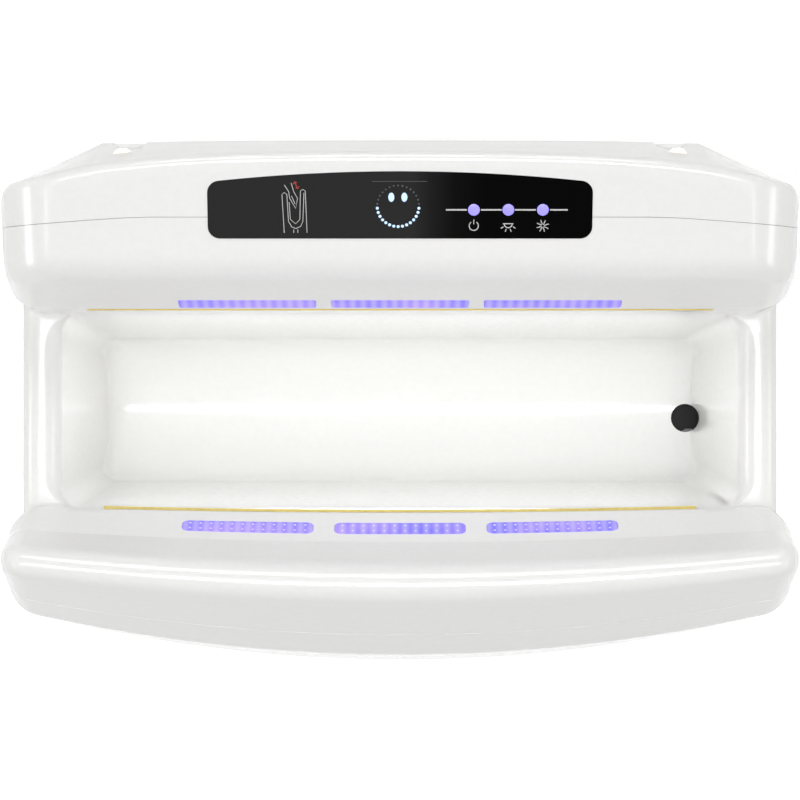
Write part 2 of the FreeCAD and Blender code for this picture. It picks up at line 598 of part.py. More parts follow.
def impeller():
    body = doc.addObject("PartDesign::Body", "impeller_body")
    top = size("wheel_height")
    plate_low = top - size("wheel_plate")
    sketch = sketch_on(body, "XZ_Plane", "impeller_profile")
    bore_radius = size("shaft_radius") + size("run_gap")
    outline(sketch, [(bore_radius, 0), (size("hub_radius"), 0), (size("hub_radius"), plate_low),
                     (size("wheel_radius"), plate_low), (size("wheel_radius"), top), (bore_radius, top)])
    turned = body.newObject("PartDesign::Revolution", "impeller_disc")
    turned.Profile = sketch
    turned.ReferenceAxis = (sketch, ["V_Axis"])
    turned.Angle = 360
    doc.recompute()
    blade_sketch = sketch_on(body, "XY_Plane", "blade_foot", "2")
    rectangle(blade_sketch, (size("hub_radius") - 0.5, -size("blade_skin") / 2),
              (size("wheel_radius") - 1, size("blade_skin") / 2))
    blade = body.newObject("PartDesign::Pad", "blade")
    blade.Profile = blade_sketch
    bind(blade, "Length", "wheel_height - wheel_plate - 1.5")
    doc.recompute()
    blades = body.newObject("PartDesign::PolarPattern", "blades")
    blades.Originals = [blade]
    blades.Axis = (blade_sketch, ["N_Axis"])
    blades.Angle = 360
    blades.Occurrences = int(size("blade_count"))
    body.Tip = blades
    return body


node(place(impeller(), AXIS + ("wheel_floor",)), "impeller")
node(rod("shaft_rod", "shaft_radius", "shaft_length", AXIS + ("shaft_floor",)), "motor_shaft")


def ring_of(name, outer_radius, inner_radius, height, level):
    """A plain ring on the fan's axis."""
    full = rod(name + "_full", outer_radius, height, AXIS + (level,))
    eye = rod(name + "_eye", inner_radius, "(%s) + 2 * cut_margin" % height,
              AXIS + ("(%s) - cut_margin" % level,))
    return cut(name + "_ring", full, eye)


node(ring_of("rotor", "rotor_radius", "shaft_radius + run_gap", "stator_height - 4", "stator_floor + 2"),
     "motor_rotor")
node(ring_of("stator", "stator_radius", "rotor_radius + air_gap", "stator_height", "stator_floor"),
     "motor_stator")
for label, level in (("lower", "low_bearing"), ("upper", "high_bearing")):
    node(ring_of(label + "_bearing", "bearing_radius", "shaft_radius + run_gap", "bearing_height", level),
         label + "_bearing")
    span = "2 * (can_radius - can_skin - bridge_gap)"
    long_arm = block(label + "_arm_x", (span, "bridge_arm", "bridge_skin"),
                     ("bridge_gap - (can_radius - can_skin)", "-fan_depth - bridge_arm / 2", level))
    cross_arm = block(label + "_arm_y", ("bridge_arm", span, "bridge_skin"),
                      ("-bridge_arm / 2", "bridge_gap - fan_depth - (can_radius - can_skin)", level))
    boss = rod(label + "_boss", "bearing_radius + bridge_rim", "bearing_height", AXIS + (level,))
    seat = rod(label + "_seat", "bearing_radius", "bearing_height + 2 * cut_margin",
               AXIS + (level + " - cut_margin",))
    node(cut(label + "_bridge_cut", fuse(label + "_bridge_arms", long_arm, cross_arm, boss), seat),
         label + "_bridge")
mounts = []
for label, low, high in (("low", "low_bearing + bridge_skin", "stator_floor"),
                         ("high", "stator_floor + stator_height", "high_bearing")):
    for index, (right, ahead) in enumerate(((1, 0), (0, 1), (-1, 0), (0, -1))):
        mounts.append(rod("mount_%s_%d" % (label, index), "mount_radius", "(%s) - (%s)" % (high, low),
                          ("%d * mount_place" % right, "-fan_depth + %d * mount_place" % ahead, low)))
node(group("mount_group", *mounts), "motor_mounts")

# Air intake: a funnel from the filter to the blower, the filter tray and its guides.
funnel_height = "can_floor - funnel_floor"
for name, slim in (("funnel_outside", "0"), ("funnel_inside", "funnel_skin")):
    cone = doc.addObject("Part::Cone", name)
    bind(cone, "Radius1", "funnel_radius - " + slim)
    bind(cone, "Radius2", "can_radius - " + slim)
    bind(cone, "Height", funnel_height)
    place(cone, AXIS + ("funnel_floor",))
node(cut("funnel_cut", doc.getObject("funnel_outside"), doc.getObject("funnel_inside")), "intake_funnel")

tray_box = block("tray_box", ("case_width / 2 + tray_right", "tray_far - tray_near", "tray_height"),
                 ("-case_width / 2", "-tray_far", "tray_floor"))
tray_open = block("tray_open", ("case_width / 2 + tray_right - 4 * tray_skin",
                                "tray_far - tray_near - 2 * tray_skin",
                                "tray_height + 2 * cut_margin"),
                  ("3 * tray_skin - case_width / 2", "tray_skin - tray_far", "tray_floor - cut_margin"))
tray_pull = block("tray_pull", ("2 * cut_margin", "pull_width", "pull_height"),
                  ("-case_width / 2 - cut_margin", "-(tray_near + tray_far + pull_width) / 2",
                   "tray_floor + guide_skin"))
node(cut("tray_cut", tray_box, tray_open, tray_pull), "filter_tray")
node(block("mesh_pad", ("case_width / 2 + tray_right - 4 * tray_skin",
                        "tray_far - tray_near - 2 * tray_skin", "mesh_height"),
           ("3 * tray_skin - case_width / 2", "tray_skin - tray_far", "tray_floor + tray_skin")),
     "filter_mesh")
GUIDE_LONG = "case_width / 2 + tray_right - guide_short"
deck = block("guide_deck", (GUIDE_LONG, "tray_far - tray_near + 2 * (tray_gap + guide_skin)",
                            "funnel_floor - tray_floor - tray_height - tray_gap"),
             ("guide_start - case_width / 2", "-tray_far - tray_gap - guide_skin",
              "tray_floor + tray_height + tray_gap"))
deck_hole = rod("guide_hole", "funnel_radius - funnel_skin", "3 * tray_height",
                AXIS + ("tray_floor - cut_margin",))
rails = [block("guide_rail_%d" % index, (GUIDE_LONG, "guide_skin", "tray_height + tray_gap + guide_skin"),
               ("guide_start - case_width / 2", edge, "tray_floor - guide_skin"))
         for index, edge in enumerate(("-tray_far - tray_gap - guide_skin", "-tray_near + tray_gap"))]
node(cut("guide_cut", fuse("guide_parts", deck, *rails), deck_hole), "filter_guides")
tray_slot = block("tray_slot", ("2 * zone_margin", "tray_far - tray_near + 2 * tray_gap",
                                "tray_height + 2 * tray_gap"),
                  ("-case_width / 2 - zone_margin", "-tray_far - tray_gap", "tray_floor - tray_gap"))


def hose():
    """The drain hose: straight runs joined by tangent arcs, swept with its bore."""
    right = size("drain_x")
    depth = -size("drain_depth")
    start = size("slot_floor") - size("skin") - size("spigot_length")
    stops = [Vector(right, depth, start), Vector(right, depth, size("hose_bend_level")),
             Vector(size("hose_x"), depth, size("hose_turn_level")),
             Vector(size("hose_x"), depth, size("hose_end_level"))]
    bend = size("hose_bend")
    edges = []
    last = stops[0]
    for index in (1, 2):
        here = stops[index]
        back = (stops[index - 1] - here).normalize()
        ahead = (stops[index + 1] - here).normalize()
        half = back.getAngle(ahead) / 2
        reach = bend / math.tan(half)
        centre = here + (back + ahead).normalize() * (bend / math.sin(half))
        crown = centre + (here - centre).normalize() * bend
        edges.append(Part.LineSegment(last, here + back * reach).toShape())
        edges.append(Part.Arc(here + back * reach, crown, here + ahead * reach).toShape())
        last = here + ahead * reach
    edges.append(Part.LineSegment(last, stops[3]).toShape())
    path = Part.Wire(edges)
    tubes = []
    for radius in (size("drain_radius") + size("hose_skin"), size("drain_radius")):
        rim = Part.Wire([Part.makeCircle(radius, stops[0], Vector(0, 0, -1))])
        tubes.append(path.makePipeShell([rim], True, True))
    return tubes[0].cut(tubes[1])


# Drain: a hole in the slot's corner, a spigot under it and a hose down to the tank.
DRAIN = ("drain_x", "-drain_depth")
drain_hole = rod("drain_hole", "drain_radius", "slot_floor", DRAIN + ("slot_floor - 40",))
spigot_full = rod("spigot_full", "spigot_radius", "spigot_length + spigot_lap",
                  DRAIN + ("slot_floor - skin - spigot_length",))
node(cut("spigot_cut", spigot_full, drain_hole, slot_wrap), "drain_spigot")
node(shaped("hose_form", hose()), "drain_hose")

# Tank: an open drawer whose front follows the casing.
tank_zone = block("tank_zone", ("tank_width", "belly_depth - tank_near + zone_margin",
                                "tank_top - tank_floor"),
                  ("-tank_width / 2", FAR, "tank_floor"))
tank_inside = block("tank_inside",
                    ("tank_width - 2 * tank_skin", "tank_face - tank_near - tank_skin", "tank_width"),
                    ("tank_skin - tank_width / 2", "-tank_face", "tank_floor + tank_skin"))
tank_grip = block("tank_grip", ("grip_width", "tank_near - 2", "grip_height"),
                  ("-grip_width / 2", "-foot_depth - grip_start",
                   "(tank_floor + tank_top - grip_height) / 2"))
node(cut("tank_cut", common("tank_form", outer, tank_zone), tank_inside, tank_grip), "water_tank")
tank_opening = block("tank_opening",
                     ("tank_width + 2 * tank_gap", "tank_width / 2", "tank_top - tank_floor + 2 * tank_gap"),
                     ("-tank_width / 2 - tank_gap", FAR, "tank_floor - tank_gap"))
tank_rails = [block("tank_rail_%d" % index, ("rail_width", "tank_face - tank_near - rail_start - 2",
                                             "tank_floor - foot_level - skin - rail_gap"),
                    (edge, "-tank_face + rail_start", "foot_level + skin"))
              for index, edge in enumerate(("rail_inset - tank_width / 2",
                                            "tank_width / 2 - rail_inset - rail_width"))]
node(group("rail_group", *tank_rails), "tank_rails")

# Intake grilles: louvred panels in both flanks, low down.
grille_holes = []
for label, left in (("left", "-case_width / 2"), ("right", "case_width / 2 - grille_skin")):
    face = block("grille_%s_face" % label, ("grille_skin", "grille_far - grille_near", "grille_height"),
                 (left, "-grille_far", "grille_floor"))
    louvres = [block("louvre_%s_%d" % (label, index),
                     ("2 * zone_margin", "grille_far - grille_near - 2 * louvre_margin", "louvre_height"),
                     (left + " - cut_margin", "louvre_margin - grille_far",
                      "grille_floor + louvre_start + %d * louvre_pitch" % index))
               for index in range(int(size("louvre_count")))]
    node(cut("grille_%s_cut" % label, face, *louvres), "intake_grille_" + label)
    grille_holes.append(block("grille_%s_hole" % label,
                              ("2 * zone_margin", "grille_far - grille_near", "grille_height"),
                              (left + " - zone_margin", "-grille_far", "grille_floor")))

# Electrics on the back wall, and the mains switch in the right flank.
BOARD_FACE = "-board_depth - board_skin"
node(block("main_board", ("board_width", "board_skin", "board_height"),
           ("-board_left", BOARD_FACE, "board_floor")), "control_board")
posts = []
for right in ("post_inset - board_left", "board_width - post_inset - board_left"):
    for level in ("board_floor + post_inset", "board_floor + board_height - post_inset"):
        posts.append(bore("post_%d" % len(posts), "post_radius", (right, level),
                          "-board_depth", "-back_skin"))
node(group("post_group", *posts), "board_posts")
node(block("trafo_block", ("trafo_width", "trafo_depth", "trafo_height"),
           ("trafo_x - board_left", BOARD_FACE + " - trafo_depth", "board_floor + trafo_level")),
     "transformer")
node(block("terminal_bar", ("block_width", "block_depth", "block_height"),
           ("block_x - board_left", BOARD_FACE + " - block_depth",
            "board_floor + board_height - block_level")),
     "terminal_block")
caps = [bore("capacitor_%d" % index, "cap_radius", ("-cap_x", "board_floor + %d * cap_pitch" % (index + 1)),
             BOARD_FACE + " - cap_length", BOARD_FACE) for index in range(3)]
node(group("capacitor_group", *caps), "capacitors")

ACROSS = ((1, 0, 0), 90)
PIVOT_X = "case_width / 2 - rocker_inset"
switch_box = block("switch_box", ("switch_body", "switch_width", "switch_height"),
                   ("case_width / 2 - switch_body - switch_sunk", "-switch_depth - switch_width / 2",
                    "switch_level - switch_height / 2"))
switch_well = rod("switch_well", "rocker_radius + rocker_gap", "rocker_width + 2 * rocker_gap",
                  (PIVOT_X, "-switch_depth + rocker_width / 2 + rocker_gap", "switch_level"), ACROSS)
pin_hole = rod("switch_pin_hole", "rocker_pin + run_gap", "2 * switch_width",
               (PIVOT_X, "-switch_depth + switch_width", "switch_level"), ACROSS)
switch_mouth = block("switch_mouth",
                     ("2 * zone_margin", "rocker_width + 2 * rocker_gap", "2 * (rocker_radius + rocker_gap)"),
                     (PIVOT_X, "-switch_depth - rocker_width / 2 - rocker_gap",
                      "switch_level - rocker_radius - rocker_gap"))
node(cut("switch_cut", switch_box, switch_well, switch_mouth, pin_hole), "switch_body")
disc = rod("rocker_disc", "rocker_radius", "rocker_width", ("0", "rocker_width / 2", "0"), ACROSS)
disc_cap = block("rocker_cap", ("rocker_back + rocker_front", "rocker_width", "2 * rocker_radius"),
                 ("-rocker_back", "-rocker_width / 2", "-rocker_radius"))
pin = rod("rocker_pin_rod", "rocker_pin", "switch_width - 2 * pin_gap",
          ("0", "switch_width / 2 - pin_gap", "0"), ACROSS)
rocker = fuse("rocker_parts", common("rocker_form", disc, disc_cap), pin)
node(place(rocker, (PIVOT_X, "-switch_depth", "switch_level"), ((0, 1, 0), -size("rocker_tilt"))),
     "switch_rocker")
switch_hole = block("switch_hole", ("2 * zone_margin", "switch_width", "switch_height"),
                    ("case_width / 2 - zone_margin", "-switch_depth - switch_width / 2",
                     "switch_level - switch_height / 2"))

GLAND = ("grommet_x", "grommet_level")
gland_neck = bore("gland_neck", "grommet_neck", GLAND, "-back_skin", "0")
gland_flange = bore("gland_flange", "grommet_flange", GLAND, "-back_skin - flange_skin", "-back_skin")
gland_bore = bore("gland_bore", "grommet_bore", GLAND, "-3 * zone_margin", "zone_margin")
node(cut("gland_cut", fuse("gland_solid", gland_neck, gland_flange), gland_bore), "cable_grommet")


def wall_plate():
    body = doc.addObject("PartDesign::Body", "plate_body")
    sketch = sketch_on(body, "XZ_Plane", "plate_outline")
    wide = size("plate_width") / 2
    tall = size("plate_height") / 2
    rectangle(sketch, (-wide, -tall), (wide, tall))
    pad = body.newObject("PartDesign::Pad", "plate_sheet")
    pad.Profile = sketch
    bind(pad, "Length", "plate_skin")
    doc.recompute()
    pad.Reversed = pad.Shape.BoundBox.YMax > 0.1
    holes = sketch_on(body, "XZ_Plane", "plate_holes")
    for right in (-1, 1):
        for up in (-1, 1):
            spot = Vector(right * size("screw_span_x") / 2, up * size("screw_span_z") / 2, 0)
            holes.addGeometry(Part.Circle(spot, Vector(0, 0, 1), size("screw_hole") / 2), False)
    drilled = body.newObject("PartDesign::Pocket", "plate_drilling")
    drilled.Profile = holes
    drilled.Type = 1
    drilled.Midplane = True
    body.Tip = drilled
    return body


hooks = []
hook_slots = []
for hand in ("-hook_place - hook_width / 2", "hook_place - hook_width / 2"):
    tag = len(hook_slots)
    hooks.append(block("hook_arm_%d" % tag, ("hook_width", "hook_reach - plate_skin", "plate_skin"),
                       (hand, "-hook_reach", "hook_level")))
    hooks.append(block("hook_lip_%d" % tag, ("hook_width", "plate_skin", "hook_lip"),
                       (hand, "-hook_reach", "hook_level")))
    hook_slots.append(block("hook_slot_%d" % tag,
                            ("hook_width + 2 * plate_gap", "2 * zone_margin", "hook_lip + 3 * plate_gap"),
                            (hand + " - plate_gap", "-15", "hook_level - plate_gap")))
node(fuse("plate_parts", wall_plate(), *hooks), "wall_plate")


def screw(tag, spot, head_level, turned_over):
    """A pan-head screw along Z; its head is on top, or underneath when turned over."""
    head = rod(tag + "_head", "head_radius", "head_height", spot + (head_level,))
    start = head_level + (" + head_height" if turned_over else " - thread_length")
    return fuse(tag, head, rod(tag + "_thread", "thread_radius", "thread_length", spot + (start,)))


rear_spots = [("%s * rear_screw_x" % hand, "-rear_screw_depth") for hand in (-1, 1)]
base_spots = [("%s * base_screw_x" % hand, "-" + depth)
              for hand in (-1, 1) for depth in ("base_screw_near", "base_screw_far")]
rear_screws = node(group("rear_screw_group", *[
    screw("rear_screw_%d" % index, spot, "rear_screw_level", False)
    for index, spot in enumerate(rear_spots)]), "rear_screws")
base_screws = node(group("base_screw_group", *[
    screw("base_screw_%d" % index, spot, "foot_level + base_screw_sunk", True)
    for index, spot in enumerate(base_spots)]), "base_screws")
rear_bosses = [rod("rear_boss_%d" % index, "rear_boss", "rear_boss_height",
                   spot + ("rear_screw_level - rear_boss_drop",))
               for index, spot in enumerate(rear_spots)]
rear_wells = [rod("rear_well_%d" % index, "rear_well", "4 * zone_margin", spot + ("rear_screw_level",))
              for index, spot in enumerate(rear_spots)]
base_bosses = [rod("base_boss_%d" % index, "base_boss", "base_level - foot_level", spot + ("foot_level",))
               for index, spot in enumerate(base_spots)]
head_wells = [rod("head_well_%d" % index, "head_radius + 0.5", "zone_margin",
                  spot + ("foot_level - zone_margin + head_height + base_screw_sunk",))
              for index, spot in enumerate(base_spots)]
screw_bosses = [rod("screw_boss_%d" % index, "base_boss", "screw_boss_height", spot + ("base_level",))
                for index, spot in enumerate(base_spots)]
front_lugs = [block("front_lug_%d" % index,
                    ("case_width / 2 - base_screw_x - lug_margin", "2 * base_boss", "screw_boss_height"),
                    (left, "-base_screw_far - base_boss", "base_level"))
              for index, left in enumerate(("lug_margin - case_width / 2", "base_screw_x"))]

# The covers, cut to take everything that passes through them.
plate_recess = block("plate_recess",
                     ("plate_width + 2 * plate_gap", "2 * zone_margin", "plate_height + 2 * plate_gap"),
                     ("-plate_width / 2 - plate_gap", "-plate_skin", "-plate_height / 2 - plate_gap"))
rear_skin = common("rear_skin", shell, rear_zone)
rear_post_rods = fuse("rear_post_rods", *rear_bosses, screw_bosses[0], screw_bosses[2])
rear_posts = common("rear_posts", outer, rear_post_rods)
gland_hole = bore("gland_hole", "grommet_neck", GLAND, "-2 * zone_margin", "zone_margin")
node(cut("back_cut", fuse("back_solid", rear_skin, rear_posts), plate_recess, *hook_slots, *rear_wells,
         gland_hole, panel, panel_hole, rear_screws, base_screws), "back_cover")

upper_skin = common("upper_skin", shell, middle_zone)
slot_zone = block("slot_zone", (WIDE[1], "belly_depth", "crease_level - slot_floor + 40"),
                  (WIDE[0], "-belly_depth", "slot_floor - skin - 1"))
wrap = common("wrap_skin", slot_wrap, outer, slot_zone)
node(cut("trough_cut", fuse("trough_solid", cut("upper_open", upper_skin, high_front), wrap), slot, panel,
         panel_hole, *window_holes, rear_bar, front_bar, drain_hole), "trough_moulding")

front_zone = fuse("front_zone", low_front, high_front)
front_skin = common("front_skin", shell, front_zone)
front_posts = fuse("front_posts", screw_bosses[1], screw_bosses[3], *front_lugs)
node(cut("front_cut", fuse("front_solid", front_skin, front_posts), tank_opening, tray_slot, switch_hole,
         *grille_holes, base_screws), "front_cover")

base_skin = common("base_skin", shell, base_zone)
base_posts = common("base_posts", outer, fuse("base_rods", *base_bosses))
node(cut("base_cut", fuse("base_solid", base_skin, base_posts), *head_wells, base_screws, tank_opening),
     "base_cover")

doc.recompute()
for thing in doc.Objects:
    if "Invalid" in thing.State or "Error" in thing.State:
        raise RuntimeError("%s failed: %s" % (thing.Name, thing.State))
for thing in nodes:
    if thing.Shape.isNull() or not thing.Shape.isValid():
        raise RuntimeError("%s has no valid shape" % thing.Label)

os.makedirs("parts", exist_ok=True)
for thing in nodes:
    thing.Shape.exportStep("parts/%s.step" % thing.Label)
    print("%-26s solids %3d volume %10.1f" % (thing.Label, len(thing.Shape.Solids), thing.Shape.Volume))
print(len(nodes), "nodes")
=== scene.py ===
import json
import math

import bmesh
import bpy
from mathutils import Euler, Matrix, Vector

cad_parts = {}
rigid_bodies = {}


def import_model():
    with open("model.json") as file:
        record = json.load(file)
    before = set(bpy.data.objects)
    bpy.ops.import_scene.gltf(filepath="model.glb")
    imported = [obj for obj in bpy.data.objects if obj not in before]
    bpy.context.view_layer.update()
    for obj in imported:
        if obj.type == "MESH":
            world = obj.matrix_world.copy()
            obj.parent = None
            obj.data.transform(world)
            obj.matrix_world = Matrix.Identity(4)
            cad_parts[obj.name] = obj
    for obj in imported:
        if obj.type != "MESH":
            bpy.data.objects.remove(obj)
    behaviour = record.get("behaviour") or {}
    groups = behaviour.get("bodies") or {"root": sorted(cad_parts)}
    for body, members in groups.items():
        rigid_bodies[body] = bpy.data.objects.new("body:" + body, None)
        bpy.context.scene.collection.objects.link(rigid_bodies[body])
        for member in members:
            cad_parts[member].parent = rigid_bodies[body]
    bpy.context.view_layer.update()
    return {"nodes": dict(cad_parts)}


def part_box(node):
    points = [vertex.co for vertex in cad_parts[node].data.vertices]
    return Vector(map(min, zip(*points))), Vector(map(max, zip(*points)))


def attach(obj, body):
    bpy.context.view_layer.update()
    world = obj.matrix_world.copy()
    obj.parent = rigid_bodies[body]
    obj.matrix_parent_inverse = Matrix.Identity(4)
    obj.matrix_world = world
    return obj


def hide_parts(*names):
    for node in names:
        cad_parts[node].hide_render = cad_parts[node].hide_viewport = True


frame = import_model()

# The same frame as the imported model, in metres. Shapes below are worked out in millimetres:
# a "depth" is a distance from the wall, along -Y, and a "level" is a height.
MM = 0.001
SCENE = bpy.context.scene

# Casing: half its width, the radius of the front's bow in plan, wall thickness and width of its joints
HALF = 150.0
BOW = 640.0
SKIN = 3.0
GAP = 0.16

# Levels of the casing's foot, its joints and the slot's rolled lip, and the depth of the side joint
FOOT_LEVEL = -405.0
BASE_JOINT = -388.0
WAIST_JOINT = 100.0
SHOULDER_JOINT = 218.0
SIDE_JOINT = 162.0
LIP_LEVEL = 191.0

# Edge between the bevel at the wall and the display face, the display face's fall for each unit of
# depth and its tilt in degrees, and the (depth, level) of the edges of the slot's two inner faces
CREASE_DEPTH = 6.3
CREASE_LEVEL = 252.0
DISPLAY_FALL = 12.1 / 43.5
DISPLAY_TILT = 15.1
REAR_FACE_TOP = (49.8, 239.9)
REAR_FACE_FOOT = (61.7, 205.0)
FRONT_FACE_FOOT = (140.4, 198.0)
FRONT_FACE_TOP = (150.6, 216.0)

# Display panel, and the row of lamp windows over each jet
PANEL_WIDTH = 142.0
PANEL_HEIGHT = 20.2
WINDOW_STEP = 58.2
WINDOW_HEIGHT = 8.0
REAR_WINDOW_LEVEL = 209.6
FRONT_WINDOW_LEVEL = 207.5

# The front lobe's inner face takes this share of the front's bow at its foot, and twice it at its top
FACE_BOW = 0.15

# Limits of the cutting solids, past the casing on every side
PAST_SIDE = 156.0
PAST_WALL = 12.0
PAST_FRONT = -230.0
PAST_TOP = 280.0
PAST_FOOT = -420.0


def smooth(low, high, value):
    part = min(max((value - low) / (high - low), 0.0), 1.0)
    return part * part * (3 - 2 * part)


def between(pairs, value):
    """Straight-line interpolation in a short table of (place, number)."""
    for (x0, y0), (x1, y1) in zip(pairs, pairs[1:]):
        if value <= x1:
            return y0 + (y1 - y0) * (value - x0) / (x1 - x0)
    return pairs[-1][1]


# Materials
def material(label, dark, light, rough=0.4, grain=300.0, bump=0.05, metallic=0.0, **extra):
    """A procedural finish: two close colours mixed by noise, with its own roughness and relief."""
    made = bpy.data.materials.new(label)
    made.use_nodes = True
    tree = made.node_tree
    shader = tree.nodes["Principled BSDF"]
    where = tree.nodes.new("ShaderNodeTexCoord")
    noise = tree.nodes.new("ShaderNodeTexNoise")
    noise.inputs["Scale"].default_value = grain
    noise.inputs["Detail"].default_value = 6.0
    tree.links.new(where.outputs["Object"], noise.inputs["Vector"])
    ramp = tree.nodes.new("ShaderNodeValToRGB")
    ramp.color_ramp.elements[0].position = 0.3
    ramp.color_ramp.elements[0].color = (*dark, 1)
    ramp.color_ramp.elements[1].position = 0.7
    ramp.color_ramp.elements[1].color = (*light, 1)
    tree.links.new(noise.outputs["Fac"], ramp.inputs["Fac"])
    tree.links.new(ramp.outputs["Color"], shader.inputs["Base Color"])
    spread = tree.nodes.new("ShaderNodeMapRange")
    spread.inputs["To Min"].default_value = rough * 0.85
    spread.inputs["To Max"].default_value = rough * 1.15
    tree.links.new(noise.outputs["Fac"], spread.inputs["Value"])
    tree.links.new(spread.outputs["Result"], shader.inputs["Roughness"])
    if bump:
        relief = tree.nodes.new("ShaderNodeBump")
        relief.inputs["Strength"].default_value = bump
        relief.inputs["Distance"].default_value = 0.0002
        tree.links.new(noise.outputs["Fac"], relief.inputs["Height"])
        tree.links.new(relief.outputs["Normal"], shader.inputs["Normal"])
    shader.inputs["Metallic"].default_value = metallic
    for name, value in extra.items():
        shader.inputs[name.replace("_", " ")].default_value = value
    return made


def grey(value):
    return (value, value, value)


def glow(finish, colour, strength):
    shader = finish.node_tree.nodes["Principled BSDF"]
    shader.inputs["Emission Color"].default_value = (*colour, 1)
    shader.inputs["Emission Strength"].default_value = strength
    return finish


def panel_glass_painted_reflection():
    """Black glass with a painted reflection: its base colour goes from charcoal at the left to nearly black
    at the right.
    """
    made = material("black_glass", (0.0, 0.0, 0.0), (0.0, 0.0, 0.0), rough=0.12, grain=900.0, bump=0.01,
                    Specular_IOR_Level=0.1)
    tree = made.node_tree
    shader = tree.nodes["Principled BSDF"]
    where = tree.nodes["Texture Coordinate"]
    parts = tree.nodes.new("ShaderNodeSeparateXYZ")
    tree.links.new(where.outputs["Object"], parts.inputs["Vector"])
    across = tree.nodes.new("ShaderNodeMapRange")
    across.inputs["From Min"].default_value = -PANEL_WIDTH / 2 * MM
    across.inputs["From Max"].default_value = PANEL_WIDTH / 2 * MM
    tree.links.new(parts.outputs["X"], across.inputs["Value"])
    ramp = tree.nodes.new("ShaderNodeValToRGB")
    # Painted reflection: the ramp darkens the base colour from charcoal at the left to nearly black at the
    # right
    reflection_stops = ((0.0, 0.026), (0.53, 0.026), (0.58, 0.013), (0.64, 0.004), (0.72, 0.001), (1.0, 0.0008))
    for position, value in reflection_stops[2:]:
        ramp.color_ramp.elements.new(position)
    for element, (position, value) in zip(ramp.color_ramp.elements, reflection_stops):
        element.position = position
        element.color = (value, value, value, 1)
    tree.links.new(across.outputs["Result"], ramp.inputs["Fac"])
    tree.links.new(ramp.outputs["Color"], shader.inputs["Base Color"])
    return made


def window_finish():
    """Violet glass, lit from behind: brighter and redder in patches, with faint columns of lamps."""
    made = material("violet_window_glass", (0.17, 0.15, 0.80), (0.34, 0.24, 0.78), rough=0.22, grain=46.0)
    tree = made.node_tree
    shader = tree.nodes["Principled BSDF"]
    wave = tree.nodes.new("ShaderNodeTexWave")
    wave.inputs["Scale"].default_value = 78.5
    wave.inputs["Distortion"].default_value = 0.0
    tree.links.new(tree.nodes["Texture Coordinate"].outputs["Object"], wave.inputs["Vector"])
    mix = tree.nodes.new("ShaderNodeMix")
    mix.data_type = "RGBA"
    mix.blend_type = "SCREEN"
    fade = tree.nodes.new("ShaderNodeMath")
    fade.operation = "MULTIPLY"
    fade.inputs[1].default_value = 0.16
    tree.links.new(wave.outputs["Fac"], fade.inputs[0])
    tree.links.new(fade.outputs["Value"], mix.inputs["Factor"])
    mix.inputs["B"].default_value = (0.9, 0.85, 1.0, 1)
    tree.links.new(tree.nodes["Color Ramp"].outputs["Color"], mix.inputs["A"])
    tree.links.new(mix.outputs["Result"], shader.inputs["Emission Color"])
    tree.links.new(mix.outputs["Result"], shader.inputs["Base Color"])
    shader.inputs["Emission Strength"].default_value = 0.42
    return made


WHITE = material("gloss_white_shell", (0.905, 0.905, 0.893), (0.925, 0.925, 0.913), rough=0.22, grain=420.0,
                 bump=0.02, Coat_Weight=0.5, Coat_Roughness=0.05)
SATIN = material("satin_white_tank", (0.72, 0.72, 0.71), (0.75, 0.75, 0.74), rough=0.3, grain=500.0)
# Display glass, with a painted reflection in its base colour
GLASS_PAINTED_REFLECTION = panel_glass_painted_reflection()
VIOLET = window_finish()
VIOLET_DOT = glow(material("violet_lamp_light", (0.5, 0.45, 1.0), (0.6, 0.55, 1.0), rough=0.3),
                  (0.38, 0.33, 1.0), 0.6)
LAVENDER = glow(material("lavender_lens", (0.28, 0.25, 0.85), (0.34, 0.30, 0.92), rough=0.3),
                (0.30, 0.26, 0.95), 0.5)
PRINT = glow(material("panel_print", grey(0.42), grey(0.5), rough=0.5), (1, 1, 1), 0.12)
BRIGHT = glow(material("panel_light", grey(0.75), grey(0.85), rough=0.4), (0.62, 0.75, 1.0), 0.8)
ICE = glow(material("panel_ice_light", (0.42, 0.60, 0.80), (0.48, 0.66, 0.86), rough=0.4),
           (0.55, 0.75, 1.0), 0.6)
DIM = material("panel_dim_light", (0.055, 0.065, 0.075), (0.075, 0.08, 0.09), rough=0.4)
SCARLET = material("panel_red", (0.42, 0.03, 0.02), (0.5, 0.04, 0.03), rough=0.4)
AMBER = material("amber_jet_lip", (0.66, 0.50, 0.05), (0.74, 0.58, 0.08), rough=0.35, grain=500.0)
# Painted shade: the near-black colour of the front jet's slit, laid on a solid bar
SLIT_SHADE = material("jet_slit_painted_shade", (0.035, 0.02, 0.012), (0.06, 0.035, 0.02), rough=0.6, grain=700.0)
# Painted shade: the near-black colour of the disc that stands for the shade inside the drain hole
HOLE_SHADE = material("drain_hole_painted_shade", (0.004, 0.004, 0.004), (0.009, 0.009, 0.009), rough=0.7, grain=800.0)

